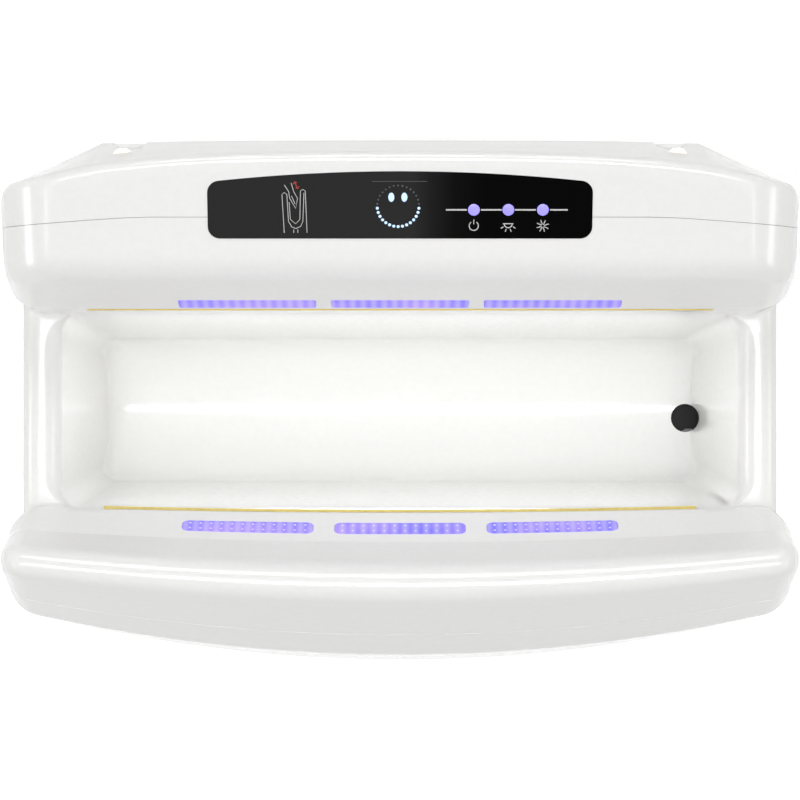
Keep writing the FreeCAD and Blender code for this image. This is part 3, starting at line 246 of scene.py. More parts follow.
FINISHES = {
    "board_green": material("epoxy_board", (0.01, 0.10, 0.03), (0.02, 0.16, 0.05), 0.45, 1500.0, 0.2),
    "grey_duct": material("moulded_grey", (0.22, 0.22, 0.23), (0.27, 0.27, 0.28), 0.5, 900.0, 0.15),
    "black_plastic": material("moulded_black", grey(0.016), grey(0.03), 0.45, 1100.0, 0.2),
    "mica": material("mica_sheet", (0.42, 0.32, 0.20), (0.62, 0.50, 0.34), 0.4, 120.0, 0.2),
    "heater_alloy": material("heater_wire", (0.30, 0.25, 0.20), (0.45, 0.38, 0.30), 0.35, 800.0, 0.1, 1.0),
    "motor_steel": material("laminated_steel", grey(0.30), grey(0.42), 0.4, 700.0, 0.2, 1.0),
    "bearing_steel": material("ground_steel", grey(0.55), grey(0.66), 0.2, 1500.0, 0.05, 1.0),
    "cast_alloy": material("cast_zinc", grey(0.42), grey(0.55), 0.5, 600.0, 0.35, 1.0),
    "plate_steel": material("galvanised_plate", (0.55, 0.57, 0.59), (0.60, 0.62, 0.64), 0.38, 300.0, 0.1,
                            1.0),
    "screw_steel": material("plated_screw", (0.50, 0.48, 0.42), (0.62, 0.60, 0.52), 0.3, 1500.0, 0.1, 1.0),
    "black_rubber": material("soft_rubber", grey(0.012), grey(0.026), 0.75, 1400.0, 0.3),
    "hose_clear": material("milky_hose", (0.62, 0.66, 0.66), (0.74, 0.78, 0.78), 0.3, 300.0, 0.05),
    "filter_foam": material("open_foam", (0.03, 0.03, 0.035), (0.10, 0.10, 0.11), 0.9, 900.0, 1.0),
    "white_shell": WHITE, "tank_white": SATIN, "black_panel": GLASS_PAINTED_REFLECTION, "violet_window": VIOLET,
    "violet_lamp": VIOLET_DOT, "white_lamp": BRIGHT, "yellow_jet": AMBER,
    "sensor_dark": material("sensor_lens", (0.02, 0.006, 0.02), (0.04, 0.012, 0.035), 0.15, 700.0, 0.02),
}


# Piece making
SHARP_ANGLE = 32.0


def solid(label, points, faces, finish):
    """A mesh object from points in millimetres."""
    mesh = bpy.data.meshes.new(label)
    mesh.from_pydata([tuple(c * MM for c in p) for p in points], [], faces)
    made = bpy.data.objects.new(label, mesh)
    SCENE.collection.objects.link(made)
    made.data.materials.append(finish)
    tidy_normals(made)
    return made


def tidy_normals(made):
    """Outward normals, smooth over curves and crisp over edges."""
    form = bmesh.new()
    form.from_mesh(made.data)
    bmesh.ops.recalc_face_normals(form, faces=form.faces)
    form.to_mesh(made.data)
    form.free()
    made.data.shade_smooth()
    made.data.set_sharp_from_angle(angle=math.radians(SHARP_ANGLE))


def belongs(made, slot, *nodes):
    """Every new piece is part of the casing and may stand for CAD nodes; the slot argument is not used."""
    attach(made, "casing")
    if nodes:
        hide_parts(*nodes)


def rings_solid(label, rings, finish):
    """A closed solid through rings of points that all have the same count, capped at both ends."""
    count = len(rings[0])
    points = [p for ring in rings for p in ring]
    faces = [list(range(count))[::-1], [len(points) - count + i for i in range(count)]]
    for row in range(len(rings) - 1):
        for i in range(count):
            a, b = row * count + i, row * count + (i + 1) % count
            faces.append([a, b, b + count, a + count])
    return solid(label, points, faces, finish)


def prism(label, flat, low, high, axis):
    """A closed prism: flat points in the plane across an axis, drawn out from low to high."""
    order = {"x": lambda a, b, h: (h, a, b), "y": lambda a, b, h: (a, h, b), "z": lambda a, b, h: (a, b, h)}
    spot = order[axis]
    return rings_solid(label, [[spot(a, b, h) for a, b in flat] for h in (low, high)], WHITE)


def box_of(label, low, high):
    return prism(label, [(low[0], low[1]), (high[0], low[1]), (high[0], high[1]), (low[0], high[1])],
                 low[2], high[2], "z")


def node_box(label, name, grow, out=0.0):
    """A node's box, grown all round and pushed further out through the right flank."""
    low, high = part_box(name)
    far = [v / MM + grow for v in high]
    return box_of(label, [v / MM - grow for v in low], (far[0] + out, far[1], far[2]))


def oval_points(x, y, wide, deep, count=40):
    turns = [2 * math.pi * k / count for k in range(count)]
    return [(x + wide * math.cos(a), y + deep * math.sin(a)) for a in turns]


def disc_points(x, y, radius):
    return oval_points(x, y, radius, radius)


def combine(target, steps):
    """Carries out boolean steps of (operation, solid) on the target and keeps only the result."""
    for index, (operation, other) in enumerate(steps):
        change = target.modifiers.new("step_%d" % index, "BOOLEAN")
        change.operation = operation
        change.solver = "MANIFOLD"
        change.object = other
    shape = target.evaluated_get(bpy.context.evaluated_depsgraph_get())
    mesh = bpy.data.meshes.new_from_object(shape)
    target.modifiers.clear()
    target.data = mesh
    tidy_normals(target)
    return target


def copy_of(source, label):
    """A separate object with its own copy of the mesh."""
    made = bpy.data.objects.new(label, source.data.copy())
    SCENE.collection.objects.link(made)
    return made


# The casing's section at a distance x from the middle
def sag(x):
    """How far the bowed front has fallen back towards the wall."""
    return x * x / (2 * BOW)


def crease(x):
    """Depth and level of the edge between the bevel at the wall and the display face."""
    depth = CREASE_DEPTH + 1.2758e-4 * x ** 2 + 2.0047e-8 * x ** 4
    return depth, CREASE_LEVEL - (depth - CREASE_DEPTH) * DISPLAY_FALL


# Level of the casing's edge at the wall, and how the corner there falls back in plan
WALL_EDGE = ((0, 236.0), (60, 233.5), (82, 231.0), (112, 223.5), (125, 220.0), (151, 215.0))
CORNER_FROM = 112.0
CORNER_SLOPE = 0.43

# Radius of each corner, steps on its arc, side rounding of the edge after it, points along that edge
EDGES = ((0.0, 0, 3.0, 30), (0.6, 2, 6.0, 3), (3.0, 5, 24.0, 8), (13.0, 12, 12.0, 6), (3.0, 4, 12.0, 3),
         (2.5, 4, 7.0, 10), (3.0, 4, 9.0, 2), (2.0, 3, 9.0, 5), (8.0, 5, 9.0, 8), (9.0, 14, 10.0, 9),
         (10.0, 12, 10.0, 12), (156.0, 16, 10.0, 40), (20.0, 8, 12.0, 14))


def corners_at(x):
    """The section's sharp corners as (-depth, level), from the foot of the wall face all round."""
    s, wide = sag(x), abs(x)
    depth, level = crease(wide)
    back = max(0.0, (wide - CORNER_FROM) * CORNER_SLOPE)
    (top_depth, top_level), (foot_depth, foot_level) = REAR_FACE_TOP, REAR_FACE_FOOT
    (near_depth, near_level), (far_depth, far_level) = FRONT_FACE_FOOT, FRONT_FACE_TOP
    return [(-back, FOOT_LEVEL), (-back, between(WALL_EDGE, wide)), (-depth, level), (-top_depth, top_level),
            (-foot_depth, foot_level), (-63.7, LIP_LEVEL), (-137.4, LIP_LEVEL),
            (-near_depth + FACE_BOW * s, near_level), (-far_depth + 2 * FACE_BOW * s, far_level),
            (-162.8 + 0.5 * s, 256.5), (-194.5 + s, 203.0), (-210.8 + s, 50.0), (-179.3 + s, FOOT_LEVEL)]


# Smallest side rounding inside the shell, and the most of an edge that a corner's arc may use
LEAST_ROUNDING = 2.0
MOST_OF_EDGE = 0.45


def meeting(p, d, q, e):
    """Where the line through p along d meets the line through q along e."""
    cross = d.x * e.y - d.y * e.x
    return p + d * (((q - p).x * e.y - (q - p).y * e.x) / cross)


def section(x, skin):
    """Points round the casing's section, rounded at its corners and drawn in towards its ends."""
    flat = [Vector(c) for c in corners_at(x)]
    count = len(flat)
    lines, arcs, points = [], [], []
    for i in range(count):
        ahead = (flat[(i + 1) % count] - flat[i]).normalized()
        radius = max(EDGES[i][2] - skin, LEAST_ROUNDING)
        over = min(max(0.0, abs(x) - (HALF - skin - radius)), radius)
        inset = skin + radius - math.sqrt(radius * radius - over * over)
        lines.append((flat[i] + Vector((-ahead.y, ahead.x)) * inset, ahead))
    moved = [meeting(*lines[i - 1], *lines[i]) for i in range(count)]
    for i in range(count):
        here = moved[i]
        behind, ahead = moved[i - 1] - here, moved[(i + 1) % count] - here
        if not EDGES[i][1]:
            arcs.append([here])
            continue
        half = behind.angle(ahead) / 2
        reach = min(EDGES[i][0] / math.tan(half), MOST_OF_EDGE * min(behind.length, ahead.length))
        behind, ahead = behind.normalized(), ahead.normalized()
        centre = here + (behind + ahead).normalized() * (reach / math.cos(half))
        first, last = here + behind * reach - centre, here + ahead * reach - centre
        turn = first.angle_signed(last)
        steps = EDGES[i][1]
        arc = []
        for k in range(steps + 1):
            a = -turn * k / steps
            arc.append(centre + Vector((first.x * math.cos(a) - first.y * math.sin(a),
                                        first.x * math.sin(a) + first.y * math.cos(a))))
        arcs.append(arc)
    for i in range(count):
        points += arcs[i]
        start, end, steps = arcs[i][-1], arcs[(i + 1) % count][0], EDGES[i][3]
        points += [start.lerp(end, k / (steps + 1)) for k in range(1, steps + 1)]
    return points


WAIST_DRAW = 3.0 / HALF


def waisted(x, z):
    """The flanks are drawn in by 3 mm beside the slot, under the overhanging ends of both lobes."""
    return x * (1 - WAIST_DRAW * smooth(50.0, 125.0, z) * (1 - smooth(192.0, 205.0, z)))


# Places of the sections, counted in from each flank, and levels at which the flat flanks are split
END_STEPS = (0, 0.04, 0.15, 0.35, 0.65, 1.0, 1.5, 2.1, 2.8, 3.6, 4.5, 5.5, 6.6, 7.8, 9.0, 10.5, 12.0, 13.5,
             15.0, 17.0, 19.0, 21.0, 23.0, 24.0, 25.0, 27.0, 30.0, 34.0, 38.0)
CAP_LEVELS = [50 + 5 * k for k in range(28)] + [191 + k for k in range(15)]


def casing_form(label, skin=0.0):
    """The whole casing as one closed solid, or its hollow when a skin is left around it."""
    half = HALF - skin
    places = [-half + step for step in END_STEPS]
    places += [-106 + 5.3 * k for k in range(41)]
    places += [half - step for step in reversed(END_STEPS)]
    rings = [[(x, p.x, p.y) for p in section(x, skin)] for x in places]
    made = rings_solid(label, rings, WHITE)
    form = bmesh.new()
    form.from_mesh(made.data)
    for level in CAP_LEVELS:
        caps = [f for f in form.faces if len(f.verts) > 4 or abs(f.normal.x) > 0.9999]
        near = caps + list({e for f in caps for e in f.edges}) + list({v for f in caps for v in f.verts})
        bmesh.ops.bisect_plane(form, geom=near, plane_co=(0, 0, level * MM), plane_no=(0, 0, 1))
    for v in form.verts:
        v.co.x = waisted(v.co.x, v.co.z / MM)
    form.to_mesh(made.data)
    form.free()
    tidy_normals(made)
    return made


# The hand slot: rings from its round floor up to its rolled lips
SLOT_FLOOR = 60.0
SLOT_MID = 100.7
SLOT_REACH = 30.5
SLOT_REAR = 63.2
SLOT_FRONT = 138.4
SLOT_CORNER = 8.0
SLOT_HALF = 126.0
END_LEAN = 6.5 / 131.0
CORNER_STEPS = 10
LIP = 7.0
DRAIN_X = 124.0
DRAIN_Y = -104.5
DRAIN_LEAN = 0.1


def wall_angle(top):
    """Lean of a straight wall that is tangent to the floor's arc and passes its top point."""
    tall = LIP_LEVEL - SLOT_FLOOR - SLOT_REACH
    low, high = 0.0, 0.5
    for step in range(40):
        lean = (low + high) / 2
        if SLOT_REACH / math.cos(lean) + tall * math.tan(lean) < top:
            low = lean
        else:
            high = lean
    return low


LEANS = (wall_angle(SLOT_MID - SLOT_REAR), wall_angle(SLOT_FRONT - SLOT_MID))


def slot_ring(level, grow):
    """The slot's outline at one level; the grown slot is the outside of its wall and has no lip."""
    low = SLOT_FLOOR - grow
    radius = SLOT_REACH + grow
    middle = SLOT_FLOOR + SLOT_REACH
    reaches = []
    for lean in LEANS:
        if level < middle - radius * math.sin(lean):
            reaches.append(math.sqrt(max(radius * radius - (middle - level) ** 2, 0.05)))
        else:
            reaches.append(radius / math.cos(lean) + (level - middle) * math.tan(lean))
    rear, front = SLOT_MID - reaches[0], SLOT_MID + reaches[1]
    wide = SLOT_HALF + grow + (level - SLOT_FLOOR) * END_LEAN
    rise = min(max(level - (LIP_LEVEL - LIP), 0.0), LIP)
    flare = 0.0 if grow else LIP - math.sqrt(LIP * LIP - rise * rise)
    foot = max(SLOT_CORNER - (level - low), 0.0)
    wide += flare - SLOT_CORNER + math.sqrt(SLOT_CORNER ** 2 - foot ** 2)
    corner = min(SLOT_CORNER + flare, (front - rear) / 2 * 0.98)
    ring = []
    for cx, cy, start in ((wide - corner, -rear - corner, 0), (-wide + corner, -rear - corner, 90),
                          (-wide + corner, -front + corner, 180), (wide - corner, -front + corner, 270)):
        for k in range(CORNER_STEPS + 1):
            a = math.radians(start + 90 * k / CORNER_STEPS)
            ring.append((cx + corner * math.cos(a), cy + corner * math.sin(a), level))
    full = []
    for i, here in enumerate(ring):
        full.append(here)
        side, spot = divmod(i, CORNER_STEPS + 1)
        if spot == CORNER_STEPS:
            ahead = ring[(i + 1) % len(ring)]
            steps = 8 if side % 2 else 30
            full += [tuple(h + (n - h) * k / steps for h, n in zip(here, ahead)) for k in range(1, steps)]
    return full


def slot_solid(label, grow=0.0):
    """The slot's space, from its floor to above its lips."""
    low = SLOT_FLOOR - grow
    rise = SLOT_REACH + grow
    levels = [low + 0.02] + [low + rise * (1 - math.cos(math.pi / 2 * k / 24)) for k in range(1, 25)]
    levels += [96, 102, 110, 120, 132, 144, 156, 168, 178, 184]
    levels += [LIP_LEVEL - LIP + LIP * math.sin(math.pi / 2 * k / 9) for k in range(1, 10)]
    levels += [206.0]
    return rings_solid(label, [slot_ring(level, grow) for level in levels], WHITE)


def drain_ring(radius, level):
    """The drain leans outwards as it goes down, to clear the foot of the end wall."""
    shift = DRAIN_LEAN * (SLOT_FLOOR - level)
    return [(x + shift, y, level) for x, y in disc_points(DRAIN_X, DRAIN_Y, radius)]


# Faces that carry the windows and the jets: a point from (across, along the face, out of it)
def rear_face(u, v, w):
    (top_depth, top_level), (foot_depth, foot_level) = REAR_FACE_TOP, REAR_FACE_FOOT
    lean = math.atan2(foot_depth - top_depth, top_level - foot_level)
    level = REAR_WINDOW_LEVEL + v * math.cos(lean)
    depth = foot_depth - (level - foot_level) * math.tan(lean)
    return (u, -depth - w * math.cos(lean), level - w * math.sin(lean))


def front_face(u, v, w):
    (top_depth, top_level), (foot_depth, foot_level) = FRONT_FACE_TOP, FRONT_FACE_FOOT
    lean = math.atan2(top_depth - foot_depth, top_level - foot_level)
    level = FRONT_WINDOW_LEVEL + v * math.cos(lean)
    part = (level - foot_level) / (top_level - foot_level)
    bow = (1 + part) * FACE_BOW * sag(u)
    depth = foot_depth + (top_depth - foot_depth) * part
    return (u, -depth + bow + w * math.cos(lean), level + w * math.sin(lean))


# Longest straight run on a plate that lies on a curved face
SPLIT = 4.0


def rounded_outline(width, height, radius):
    """A rectangle with round corners, its long sides split so that a plate can follow a curve."""
    points = []
    steps = 6
    for cx, cy, start in ((1, 1, 0), (-1, 1, 90), (-1, -1, 180), (1, -1, 270)):
        for k in range(steps + 1):
            a = math.radians(start + 90 * k / steps)
            points.append((cx * (width / 2 - radius) + radius * math.cos(a),
                           cy * (height / 2 - radius) + radius * math.sin(a)))
    full = []
    for i, here in enumerate(points):
        full.append(here)
        ahead = points[(i + 1) % len(points)]
        pieces = max(int(math.dist(here, ahead) / SPLIT), 1)
        full += [(here[0] + (ahead[0] - here[0]) * k / pieces, here[1] + (ahead[1] - here[1]) * k / pieces)
                 for k in range(1, pieces)]
    return full


def grid_plate(label, face, spot, width, height, radius, low, high, finish):
    """A plate with a rounded outline that lies on a curved face, between two heights over it."""
    flat = rounded_outline(width, height, radius)
    inner = rounded_outline(width - 0.5, height - 0.5, max(radius - 0.25, 0.05))
    rings = [[face(spot[0] + u, spot[1] + v, w) for u, v in ring]
             for ring, w in ((flat, low), (flat, high - 0.15), (inner, high))]
    made = rings_solid(label, rings, finish)
    form = bmesh.new()
    form.from_mesh(made.data)
    lines = int(width / SPLIT)
    for k in range(1, lines):
        cut = (spot[0] - width / 2 + width * k / lines) * MM
        wide = [f for f in form.faces if len(f.verts) > 4]
        near = wide + list({e for f in wide for e in f.edges}) + list({v for f in wide for v in f.verts})
        bmesh.ops.bisect_plane(form, geom=near, plane_co=(cut, 0, 0), plane_no=(1, 0, 0))
    form.to_mesh(made.data)
    form.free()
    tidy_normals(made)
    return made


# Display: its face's own axes
DISPLAY_DEPTH = 24.9
DISPLAY_SPOT = Vector((0, -DISPLAY_DEPTH, CREASE_LEVEL - (DISPLAY_DEPTH - CREASE_DEPTH) * DISPLAY_FALL))
DISPLAY_TURN = Matrix.Rotation(math.radians(DISPLAY_TILT), 3, "X")


PRINT_HEIGHT = 0.06
LENS_HEIGHT = 0.12
LENS_POINTS = 16


def display_face(u, v, w):
    return tuple(DISPLAY_SPOT + DISPLAY_TURN @ Vector((u, v, w + 0.2)))


def stroke(label, runs, width, finish):
    """Printed lines on the display: each run of points becomes a thin raised ribbon."""
    points, faces = [], []
    for run in runs:
        closed = run[0] == run[-1]
        path = [Vector(p) for p in (run[:-1] if closed else run)]
        count = len(path)
        start = len(points)
        for i, here in enumerate(path):
            before = path[i - 1] if (i or closed) else here
            after = path[(i + 1) % count] if (i < count - 1 or closed) else here
            ahead = (after - before).normalized()
            side = Vector((-ahead.y, ahead.x)) * width / 2
            for w in (0.0, PRINT_HEIGHT):
                points.append(display_face(*(here + side), w))
                points.append(display_face(*(here - side), w))
        rows = count if closed else count - 1
        for i in range(rows):
            a, b = start + 4 * i, start + 4 * ((i + 1) % count)
            faces += [[a, b, b + 1, a + 1], [a + 2, a + 3, b + 3, b + 2], [a, a + 2, b + 2, b],
                      [a + 1, b + 1, b + 3, a + 3]]
        if not closed:
            a, b = start, start + 4 * (count - 1)
            faces += [[a, a + 1, a + 3, a + 2], [b, b + 2, b + 3, b + 1]]
    return solid(label, points, faces, finish)


def dots(label, spots, radius, finish, face=display_face, stretch=1.0):
    """Small lenses: low domes on the face."""
    points, faces = [], []
    count = LENS_POINTS
    for u, v in spots:
        start = len(points)
        for rise, part in ((0.0, 1.0), (LENS_HEIGHT * 0.7, 0.9), (LENS_HEIGHT, 0.5)):
            oval = oval_points(u, v, radius * part, stretch * radius * part, count)
            points += [face(a, b, rise) for a, b in oval]
        for row in (0, 1):
            for k in range(count):
                a, b = start + count * row + k, start + count * row + (k + 1) % count
                faces.append([a, b, b + count, a + count])
        faces += [[start + k for k in range(count)][::-1], [start + 2 * count + k for k in range(count)]]
    return solid(label, points, faces, finish)


def arc(cx, cy, radius, start, end, steps=24):
    turns = [math.radians(start + (end - start) * k / steps) for k in range(steps + 1)]
    return [(cx + radius * math.cos(a), cy + radius * math.sin(a)) for a in turns]


# The hollow casing with its slot, before it is parted into covers
outer = casing_form("outer_form")
hollow = casing_form("hollow_form", SKIN)
slot_wrap = slot_solid("slot_wrap", SKIN)
slot = slot_solid("slot_form")
combine(hollow, [("DIFFERENCE", slot_wrap)])
shell = combine(outer, [("DIFFERENCE", hollow), ("DIFFERENCE", slot)])


def seam(x):
    """Depth of the joint behind the display: it swings forward round the shoulders."""
    return 29.3 + 3.0 * smooth(90.0, 150.0, abs(x))


def rear_zone(label, side, low, high):
    """The plan on one side of the joint: behind it for +1, in front of it for -1."""
    line = [(x, -seam(x) + side * GAP / 2) for x in range(round(-PAST_SIDE), round(PAST_SIDE) + 1, 4)]
    far = PAST_WALL if side > 0 else PAST_FRONT
    flat = line + [(PAST_SIDE, far), (-PAST_SIDE, far)]
    return prism(label, flat, low, high, "z")


# The front and the top meet along a step; the trough's box is taken whole with the top
HALF_GAP = GAP / 2
INSIDE = -20.0
base_top = BASE_JOINT + GAP
front_profile = [(INSIDE, base_top), (INSIDE, WAIST_JOINT - HALF_GAP),
                 (-SIDE_JOINT - HALF_GAP, WAIST_JOINT - HALF_GAP),
                 (-SIDE_JOINT - HALF_GAP, SHOULDER_JOINT - HALF_GAP),
                 (PAST_FRONT, SHOULDER_JOINT - HALF_GAP), (PAST_FRONT, base_top)]
top_profile = [(INSIDE, WAIST_JOINT + HALF_GAP), (INSIDE, PAST_TOP), (PAST_FRONT, PAST_TOP),
               (PAST_FRONT, SHOULDER_JOINT + HALF_GAP), (-SIDE_JOINT + HALF_GAP, SHOULDER_JOINT + HALF_GAP),
               (-SIDE_JOINT + HALF_GAP, WAIST_JOINT + HALF_GAP)]
behind = rear_zone("behind", 1, base_top, PAST_TOP)
ahead = rear_zone("ahead", -1, PAST_FOOT, PAST_TOP)
front_zone = prism("front_zone", front_profile, -PAST_SIDE, PAST_SIDE, "x")
top_zone = prism("top_zone", top_profile, -PAST_SIDE, PAST_SIDE, "x")
trough_box = box_of("trough_box", (-141, -143, 50), (141, -57, WAIST_JOINT + 1))
combine(top_zone, [("UNION", trough_box)])
base_zone = box_of("base_zone", (-PAST_SIDE, PAST_FRONT, PAST_FOOT), (PAST_SIDE, PAST_WALL, BASE_JOINT))

panel_outline = rounded_outline(PANEL_WIDTH + 0.4, PANEL_HEIGHT + 0.4, 1.0)
panel_rings = [[display_face(u, v, w) for u, v in panel_outline] for w in (-7.0, -1.0)]
panel_cut = rings_solid("panel_cut", panel_rings, WHITE)
cutters = {
    "plate": node_box("cut_plate", "wall_plate", 1.0),
    "switch": node_box("cut_switch", "switch_body", 0.25, out=2.0),
    "grille_left": node_box("cut_grille_left", "intake_grille_left", 0.25),
    "grille_right": node_box("cut_grille_right", "intake_grille_right", 0.25),
    "tray": node_box("cut_tray", "filter_tray", 0.8),
    "tank": node_box("cut_tank", "water_tank", 0.8),
    "cable": prism("cut_cable", disc_points(90, -200, 7.2), -9, 4, "y"),
    "drain": rings_solid("cut_drain", [drain_ring(6.1, z) for z in (20.0, 150.0)], WHITE),
}
# Scooped recesses for the two screws that hold the back cover on
scoops = [prism("cut_scoop_%d" % side, oval_points(side * 101.5, 0.0, 6.5, 2.8), 222, 262, "z")
          for side in (-1, 1)]

# Lamp windows, each with its glass and the solid that cuts its hole
windows = {}
for side, face, width, radius in (("rear", rear_face, 52.3, 0.8), ("front", front_face, 50.0, 2.6)):
    for name, step in (("left", -1), ("centre", 0), ("right", 1)):
        label = side + "_uv_window_" + name
        spot = (WINDOW_STEP * step, 0)
        windows[label] = (grid_plate(label + "_glass", face, spot, width, WINDOW_HEIGHT, radius,
                                     -2.0, 0.1, VIOLET),
                          grid_plate(label + "_cut", face, spot, width + 0.3, WINDOW_HEIGHT + 0.3,
                                     radius + 0.1, -5.0, 6.0, WHITE))


# Air jets: a bright lip along each edge of the slot, and over the front one a near-black bar of painted
# shade where its slit is
def jet(label, face_of, width, low, high, far, finish):
    """A bar along the slot's edge, from a face that may curve in plan back to a straight far side."""
    rings = []
    steps = 40
    for k in range(steps + 1):
        x = -width / 2 + width * k / steps
        near = face_of(x)
        rings.append([(x, near, low), (x, near, high), (x, far, high), (x, far, low)])
    return rings_solid(label, rings, finish)


def rear_line(x):
    return -62.35


def front_line(x):
    return -139.15 + FACE_BOW * sag(x)


rear_lip = jet("rear_jet_lip", rear_line, 240, 202.6, 203.3, -45, AMBER)
rear_cut = jet("rear_jet_cut", lambda x: -55.0, 241, 202.1, 203.9, -66, WHITE)
front_lip = jet("front_jet_lip", front_line, 229, 193.6, 195.4, -150, AMBER)
# Painted shade: a solid near-black bar in place of the shaded slit over the front lip
front_slit_shade = jet("front_jet_slit_shade", lambda x: front_line(x) - 1.6, 229, 195.5, 197.2, -150, SLIT_SHADE)
front_cut = jet("front_jet_cut", lambda x: -134.0, 230, 193.4, 197.4, -147, WHITE)

def cover(label, node, zones, tools):
    """One cover: the part of the shell inside every zone, less its openings."""
    steps = [("INTERSECT", zone) for zone in zones] + [("DIFFERENCE", tool) for tool in tools]
    belongs(combine(copy_of(shell, label), steps), "white_shell", node)


window_cuts = [cut for glass, cut in windows.values()]
cover("back_cover_skin", "back_cover", [behind], [cutters["plate"], cutters["cable"], panel_cut, *scoops])
cover("trough_skin", "trough_moulding", [top_zone, ahead],
      [panel_cut, cutters["drain"], rear_cut, front_cut, *window_cuts])
cover("front_cover_skin", "front_cover", [front_zone, ahead],
      [trough_box, *[cutters[k] for k in ("switch", "grille_left", "grille_right", "tray", "tank")]])
cover("base_cover_skin", "base_cover", [base_zone], [])

for scratch in [shell, hollow, slot, slot_wrap, behind, ahead, front_zone, top_zone, base_zone, trough_box,
                panel_cut, rear_cut, front_cut, *cutters.values(), *scoops, *window_cuts]:
    bpy.data.objects.remove(scratch)

for label, (glass, cut) in windows.items():
    belongs(glass, "violet_window", label)
belongs(rear_lip, "yellow_jet", "rear_jet")
belongs(front_lip, "yellow_jet", "front_jet")
belongs(front_slit_shade, "yellow_jet")

# Lamps seen through the front windows
for name, row in (("upper", 1.9), ("lower", -1.9)):
    spots = [(WINDOW_STEP * step + (k - 5.5) * 4.0, row) for step in (-1, 0, 1) for k in range(12)]
    belongs(dots("front_lamp_dots_" + name, spots, 0.5, VIOLET_DOT,
                 face=lambda u, v, w: front_face(u, v, w + 0.05)), "violet_lamp")

# Display: a ring of lamps, lit below and dim above, with two tall lamps inside it
RING_RADIUS = 7.7
RING_X, RING_Y = -0.7, -0.4
RING_SPLIT = -0.2
ring_turns = [math.radians(a) for a in range(6, 366, 12)]
ring_spots = [(RING_RADIUS * math.cos(a) + RING_X, RING_RADIUS * math.sin(a) + RING_Y) for a in ring_turns]
belongs(dots("ring_lit", [p for p in ring_spots if p[1] < RING_SPLIT], 0.56, ICE), "white_lamp")
belongs(dots("ring_unlit", [p for p in ring_spots if p[1] >= RING_SPLIT], 0.36, DIM), "black_panel")
belongs(dots("ring_eyes", [(-3.2, 2.9), (1.6, 2.9)], 1.1, ICE, stretch=1.55), "white_lamp")

# Three indicator lamps with dashes between them
LAMP_ROW = -1.8
POWER_X, STERILISE_X, FAN_X = 27.2, 39.9, 52.6
lamps = [(x, LAMP_ROW) for x in (POWER_X, STERILISE_X, FAN_X)]
belongs(dots("indicator_lenses", lamps, 2.2, LAVENDER), "white_lamp")
dashes = [[(start, LAMP_ROW), (end, LAMP_ROW)]
          for start, end in ((16.9, 24.6), (29.8, 37.5), (42.3, 50.0), (55.2, 61.8))]
belongs(stroke("indicator_dashes", dashes, 0.55, PRINT), "white_lamp")


def around(x, y, reach, a):
    """A point at a distance from (x, y), at the angle a from the right."""
    return (x + reach * math.cos(a), y + reach * math.sin(a))


# Their symbols: a power mark, a lamp with rays and a fan
POWER_Y, RAYS_Y, FAN_Y = -7.8, -7.0, -7.8
power = [arc(POWER_X, POWER_Y, 1.7, 125, 415), [(POWER_X, -7.2), (POWER_X, -5.5)]]
rays = [arc(STERILISE_X, RAYS_Y, 1.5, 180, 360), [(STERILISE_X - 1.9, RAYS_Y), (STERILISE_X + 1.9, RAYS_Y)]]
rays += [[around(STERILISE_X, RAYS_Y, reach, a - math.pi / 2) for reach in (2.1, 3.2)]
         for a in (-1.0, -0.35, 0.35, 1.0)]
blade = ((0.5, 0.0), (1.5, 0.35), (2.3, 0.3))
fan = [[around(FAN_X, FAN_Y, reach, math.pi / 4 * k + turn) for reach, turn in blade] for k in range(8)]
belongs(stroke("display_icons", power + rays + fan, 0.32, PRINT), "white_lamp")

# Pictogram: a hand that dips into a slot between two posts, with an arrow up and down
slot_posts = [[(-42.7, -10.4), (-43.4, 3.9), (-42.6, 4.7), (-41.6, 4.0), (-41.1, -6.1), (-39.9, -8.2),
               (-38.4, -8.8), (-36.6, -8.0), (-35.8, -6.1), (-35.3, 4.6)],
              [(-40.8, 1.1), (-40.4, -5.4), (-38.5, -7.0), (-36.9, -5.4), (-36.6, 5.2), (-35.7, 5.9),
               (-34.8, 5.2), (-34.3, -10.4)],
              [(-39.2, -9.2), (-39.2, -10.4)], [(-37.7, -9.2), (-37.7, -10.4)]]
hand = [[(-42.5, 7.5), (-40.9, 5.0), (-40.6, 2.6), (-38.4, -1.3), (-37.7, 2.5), (-39.0, 4.9), (-40.0, 8.2)],
        [(-39.9, 3.4), (-38.6, 0.4)]]
arrow = [[(-38.7, 8.7), (-37.6, 6.1)], [(-39.2, 7.8), (-38.7, 8.7), (-37.9, 8.3)],
         [(-38.3, 6.5), (-37.6, 6.1), (-37.1, 7.0)]]
belongs(stroke("slot_pictogram", slot_posts + hand, 0.24, PRINT), "white_lamp")
belongs(stroke("pictogram_mark", arrow, 0.36, SCARLET), "white_lamp")
belongs(stroke("ring_frame", [[(-10.2, 8.8), (10.0, 8.8)]], 0.2, DIM), "black_panel")

# Drain: a near-black disc just under the hole in the slot's corner, painted shade that makes the hole read
# as dark
belongs(rings_solid("drain_shade_disc", [drain_ring(7.5, z) for z in (57.2, 57.9)], HOLE_SHADE), "black_rubber")

# Finishes for the CAD nodes, by their material slot
for piece in SCENE.objects:
    if piece.type == "MESH" and piece.name in frame["nodes"]:
        for used in piece.material_slots:
            key = used.material.name.split(".")[0] if used.material else ""
            if key in FINISHES:
                used.material = FINISHES[key]

# Stage: a pale floor just under the casing's foot, and a soft sky that is brightest near the horizon
FLOOR_REACH = 4000.0
SKY = 0.54
floor_finish = glow(material("pale_floor", grey(0.93), grey(0.95), rough=0.9, grain=8.0, bump=0.0),
                    (1, 1, 1), 0.35)
floor_corners = [(x * FLOOR_REACH, y * FLOOR_REACH, FOOT_LEVEL - 0.5)
                 for x, y in ((-1, -1), (1, -1), (1, 1), (-1, 1))]
floor = solid("floor", floor_corners, [[0, 1, 2, 3]], floor_finish)

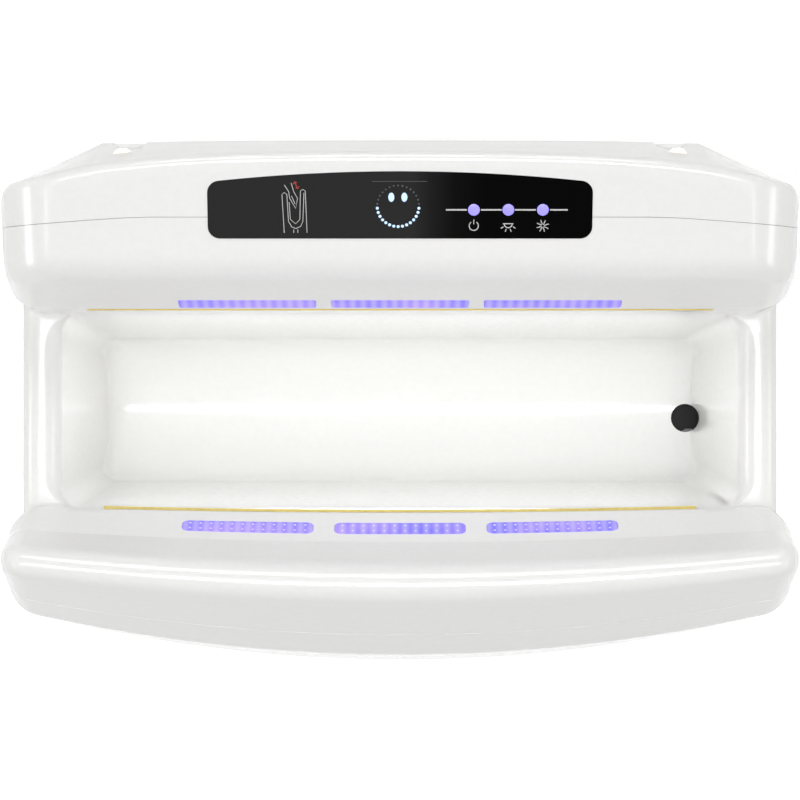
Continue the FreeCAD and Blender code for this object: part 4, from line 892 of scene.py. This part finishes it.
world = bpy.data.worlds.new("studio")
SCENE.world = world
world.use_nodes = True
sky = world.node_tree
height = sky.nodes.new("ShaderNodeSeparateXYZ")
where = sky.nodes.new("ShaderNodeTexCoord")
shade = sky.nodes.new("ShaderNodeValToRGB")
sky.links.new(where.outputs["Generated"], height.inputs["Vector"])
sky.links.new(height.outputs["Z"], shade.inputs["Fac"])
sky.links.new(shade.outputs["Color"], sky.nodes["Background"].inputs["Color"])
shade.color_ramp.elements[0].color = (1.0, 1.0, 0.995, 1)
shade.color_ramp.elements[1].position = 0.75
shade.color_ramp.elements[1].color = (0.5, 0.5, 0.5, 1)
sky.nodes["Background"].inputs["Strength"].default_value = SKY


def softbox(label, spot, aim, width, height, power):
    """A rectangular lamp at one place that points at another, in metres and watts."""
    light = bpy.data.lights.new(label, "AREA")
    light.shape = "RECTANGLE"
    light.size, light.size_y = width, height
    light.energy = power
    made = bpy.data.objects.new(label, light)
    SCENE.collection.objects.link(made)
    made.location = spot
    made.rotation_euler = (Vector(aim) - Vector(spot)).to_track_quat("-Z", "Y").to_euler()
    return made


beam = softbox("slot_beam", (0, -0.16, 1.75), (0, -0.11, 0.2), 0.80, 0.11, 0.8)
beam.data.spread = math.radians(50)
fill = softbox("slot_fill", (0, -0.1, 0.188), (0, -0.1, 0), 0.25, 0.055, 0.036)
fill.visible_camera = False
fill.visible_glossy = False
softbox("left_strip", (-0.42, -0.35, 1.75), (-0.1, -0.1, 0.2), 0.09, 1.7, 1.7)
softbox("right_strip", (0.42, -0.35, 1.75), (0.1, -0.1, 0.2), 0.09, 1.7, 1.7)
softbox("left_box", (-1.5, -0.5, 0.75), (0, -0.1, 0.2), 0.9, 0.35, 4)
softbox("right_box", (1.5, -0.5, 0.75), (0, -0.1, 0.2), 0.9, 0.35, 3)
softbox("rear_box", (0, 1.0, 1.3), (0, -0.15, 0.23), 0.8, 0.4, 5)

# Camera: straight down on the casing from about a metre above it
lens = bpy.data.cameras.new("camera")
lens.lens = 125.1
lens.sensor_width = 36.0
camera = bpy.data.objects.new("camera", lens)
SCENE.collection.objects.link(camera)
camera.location = (0, -0.0967, 1.270)
camera.rotation_euler = Euler((0, 0, 0))
SCENE.camera = camera
SCENE.view_settings.view_transform = "Standard"
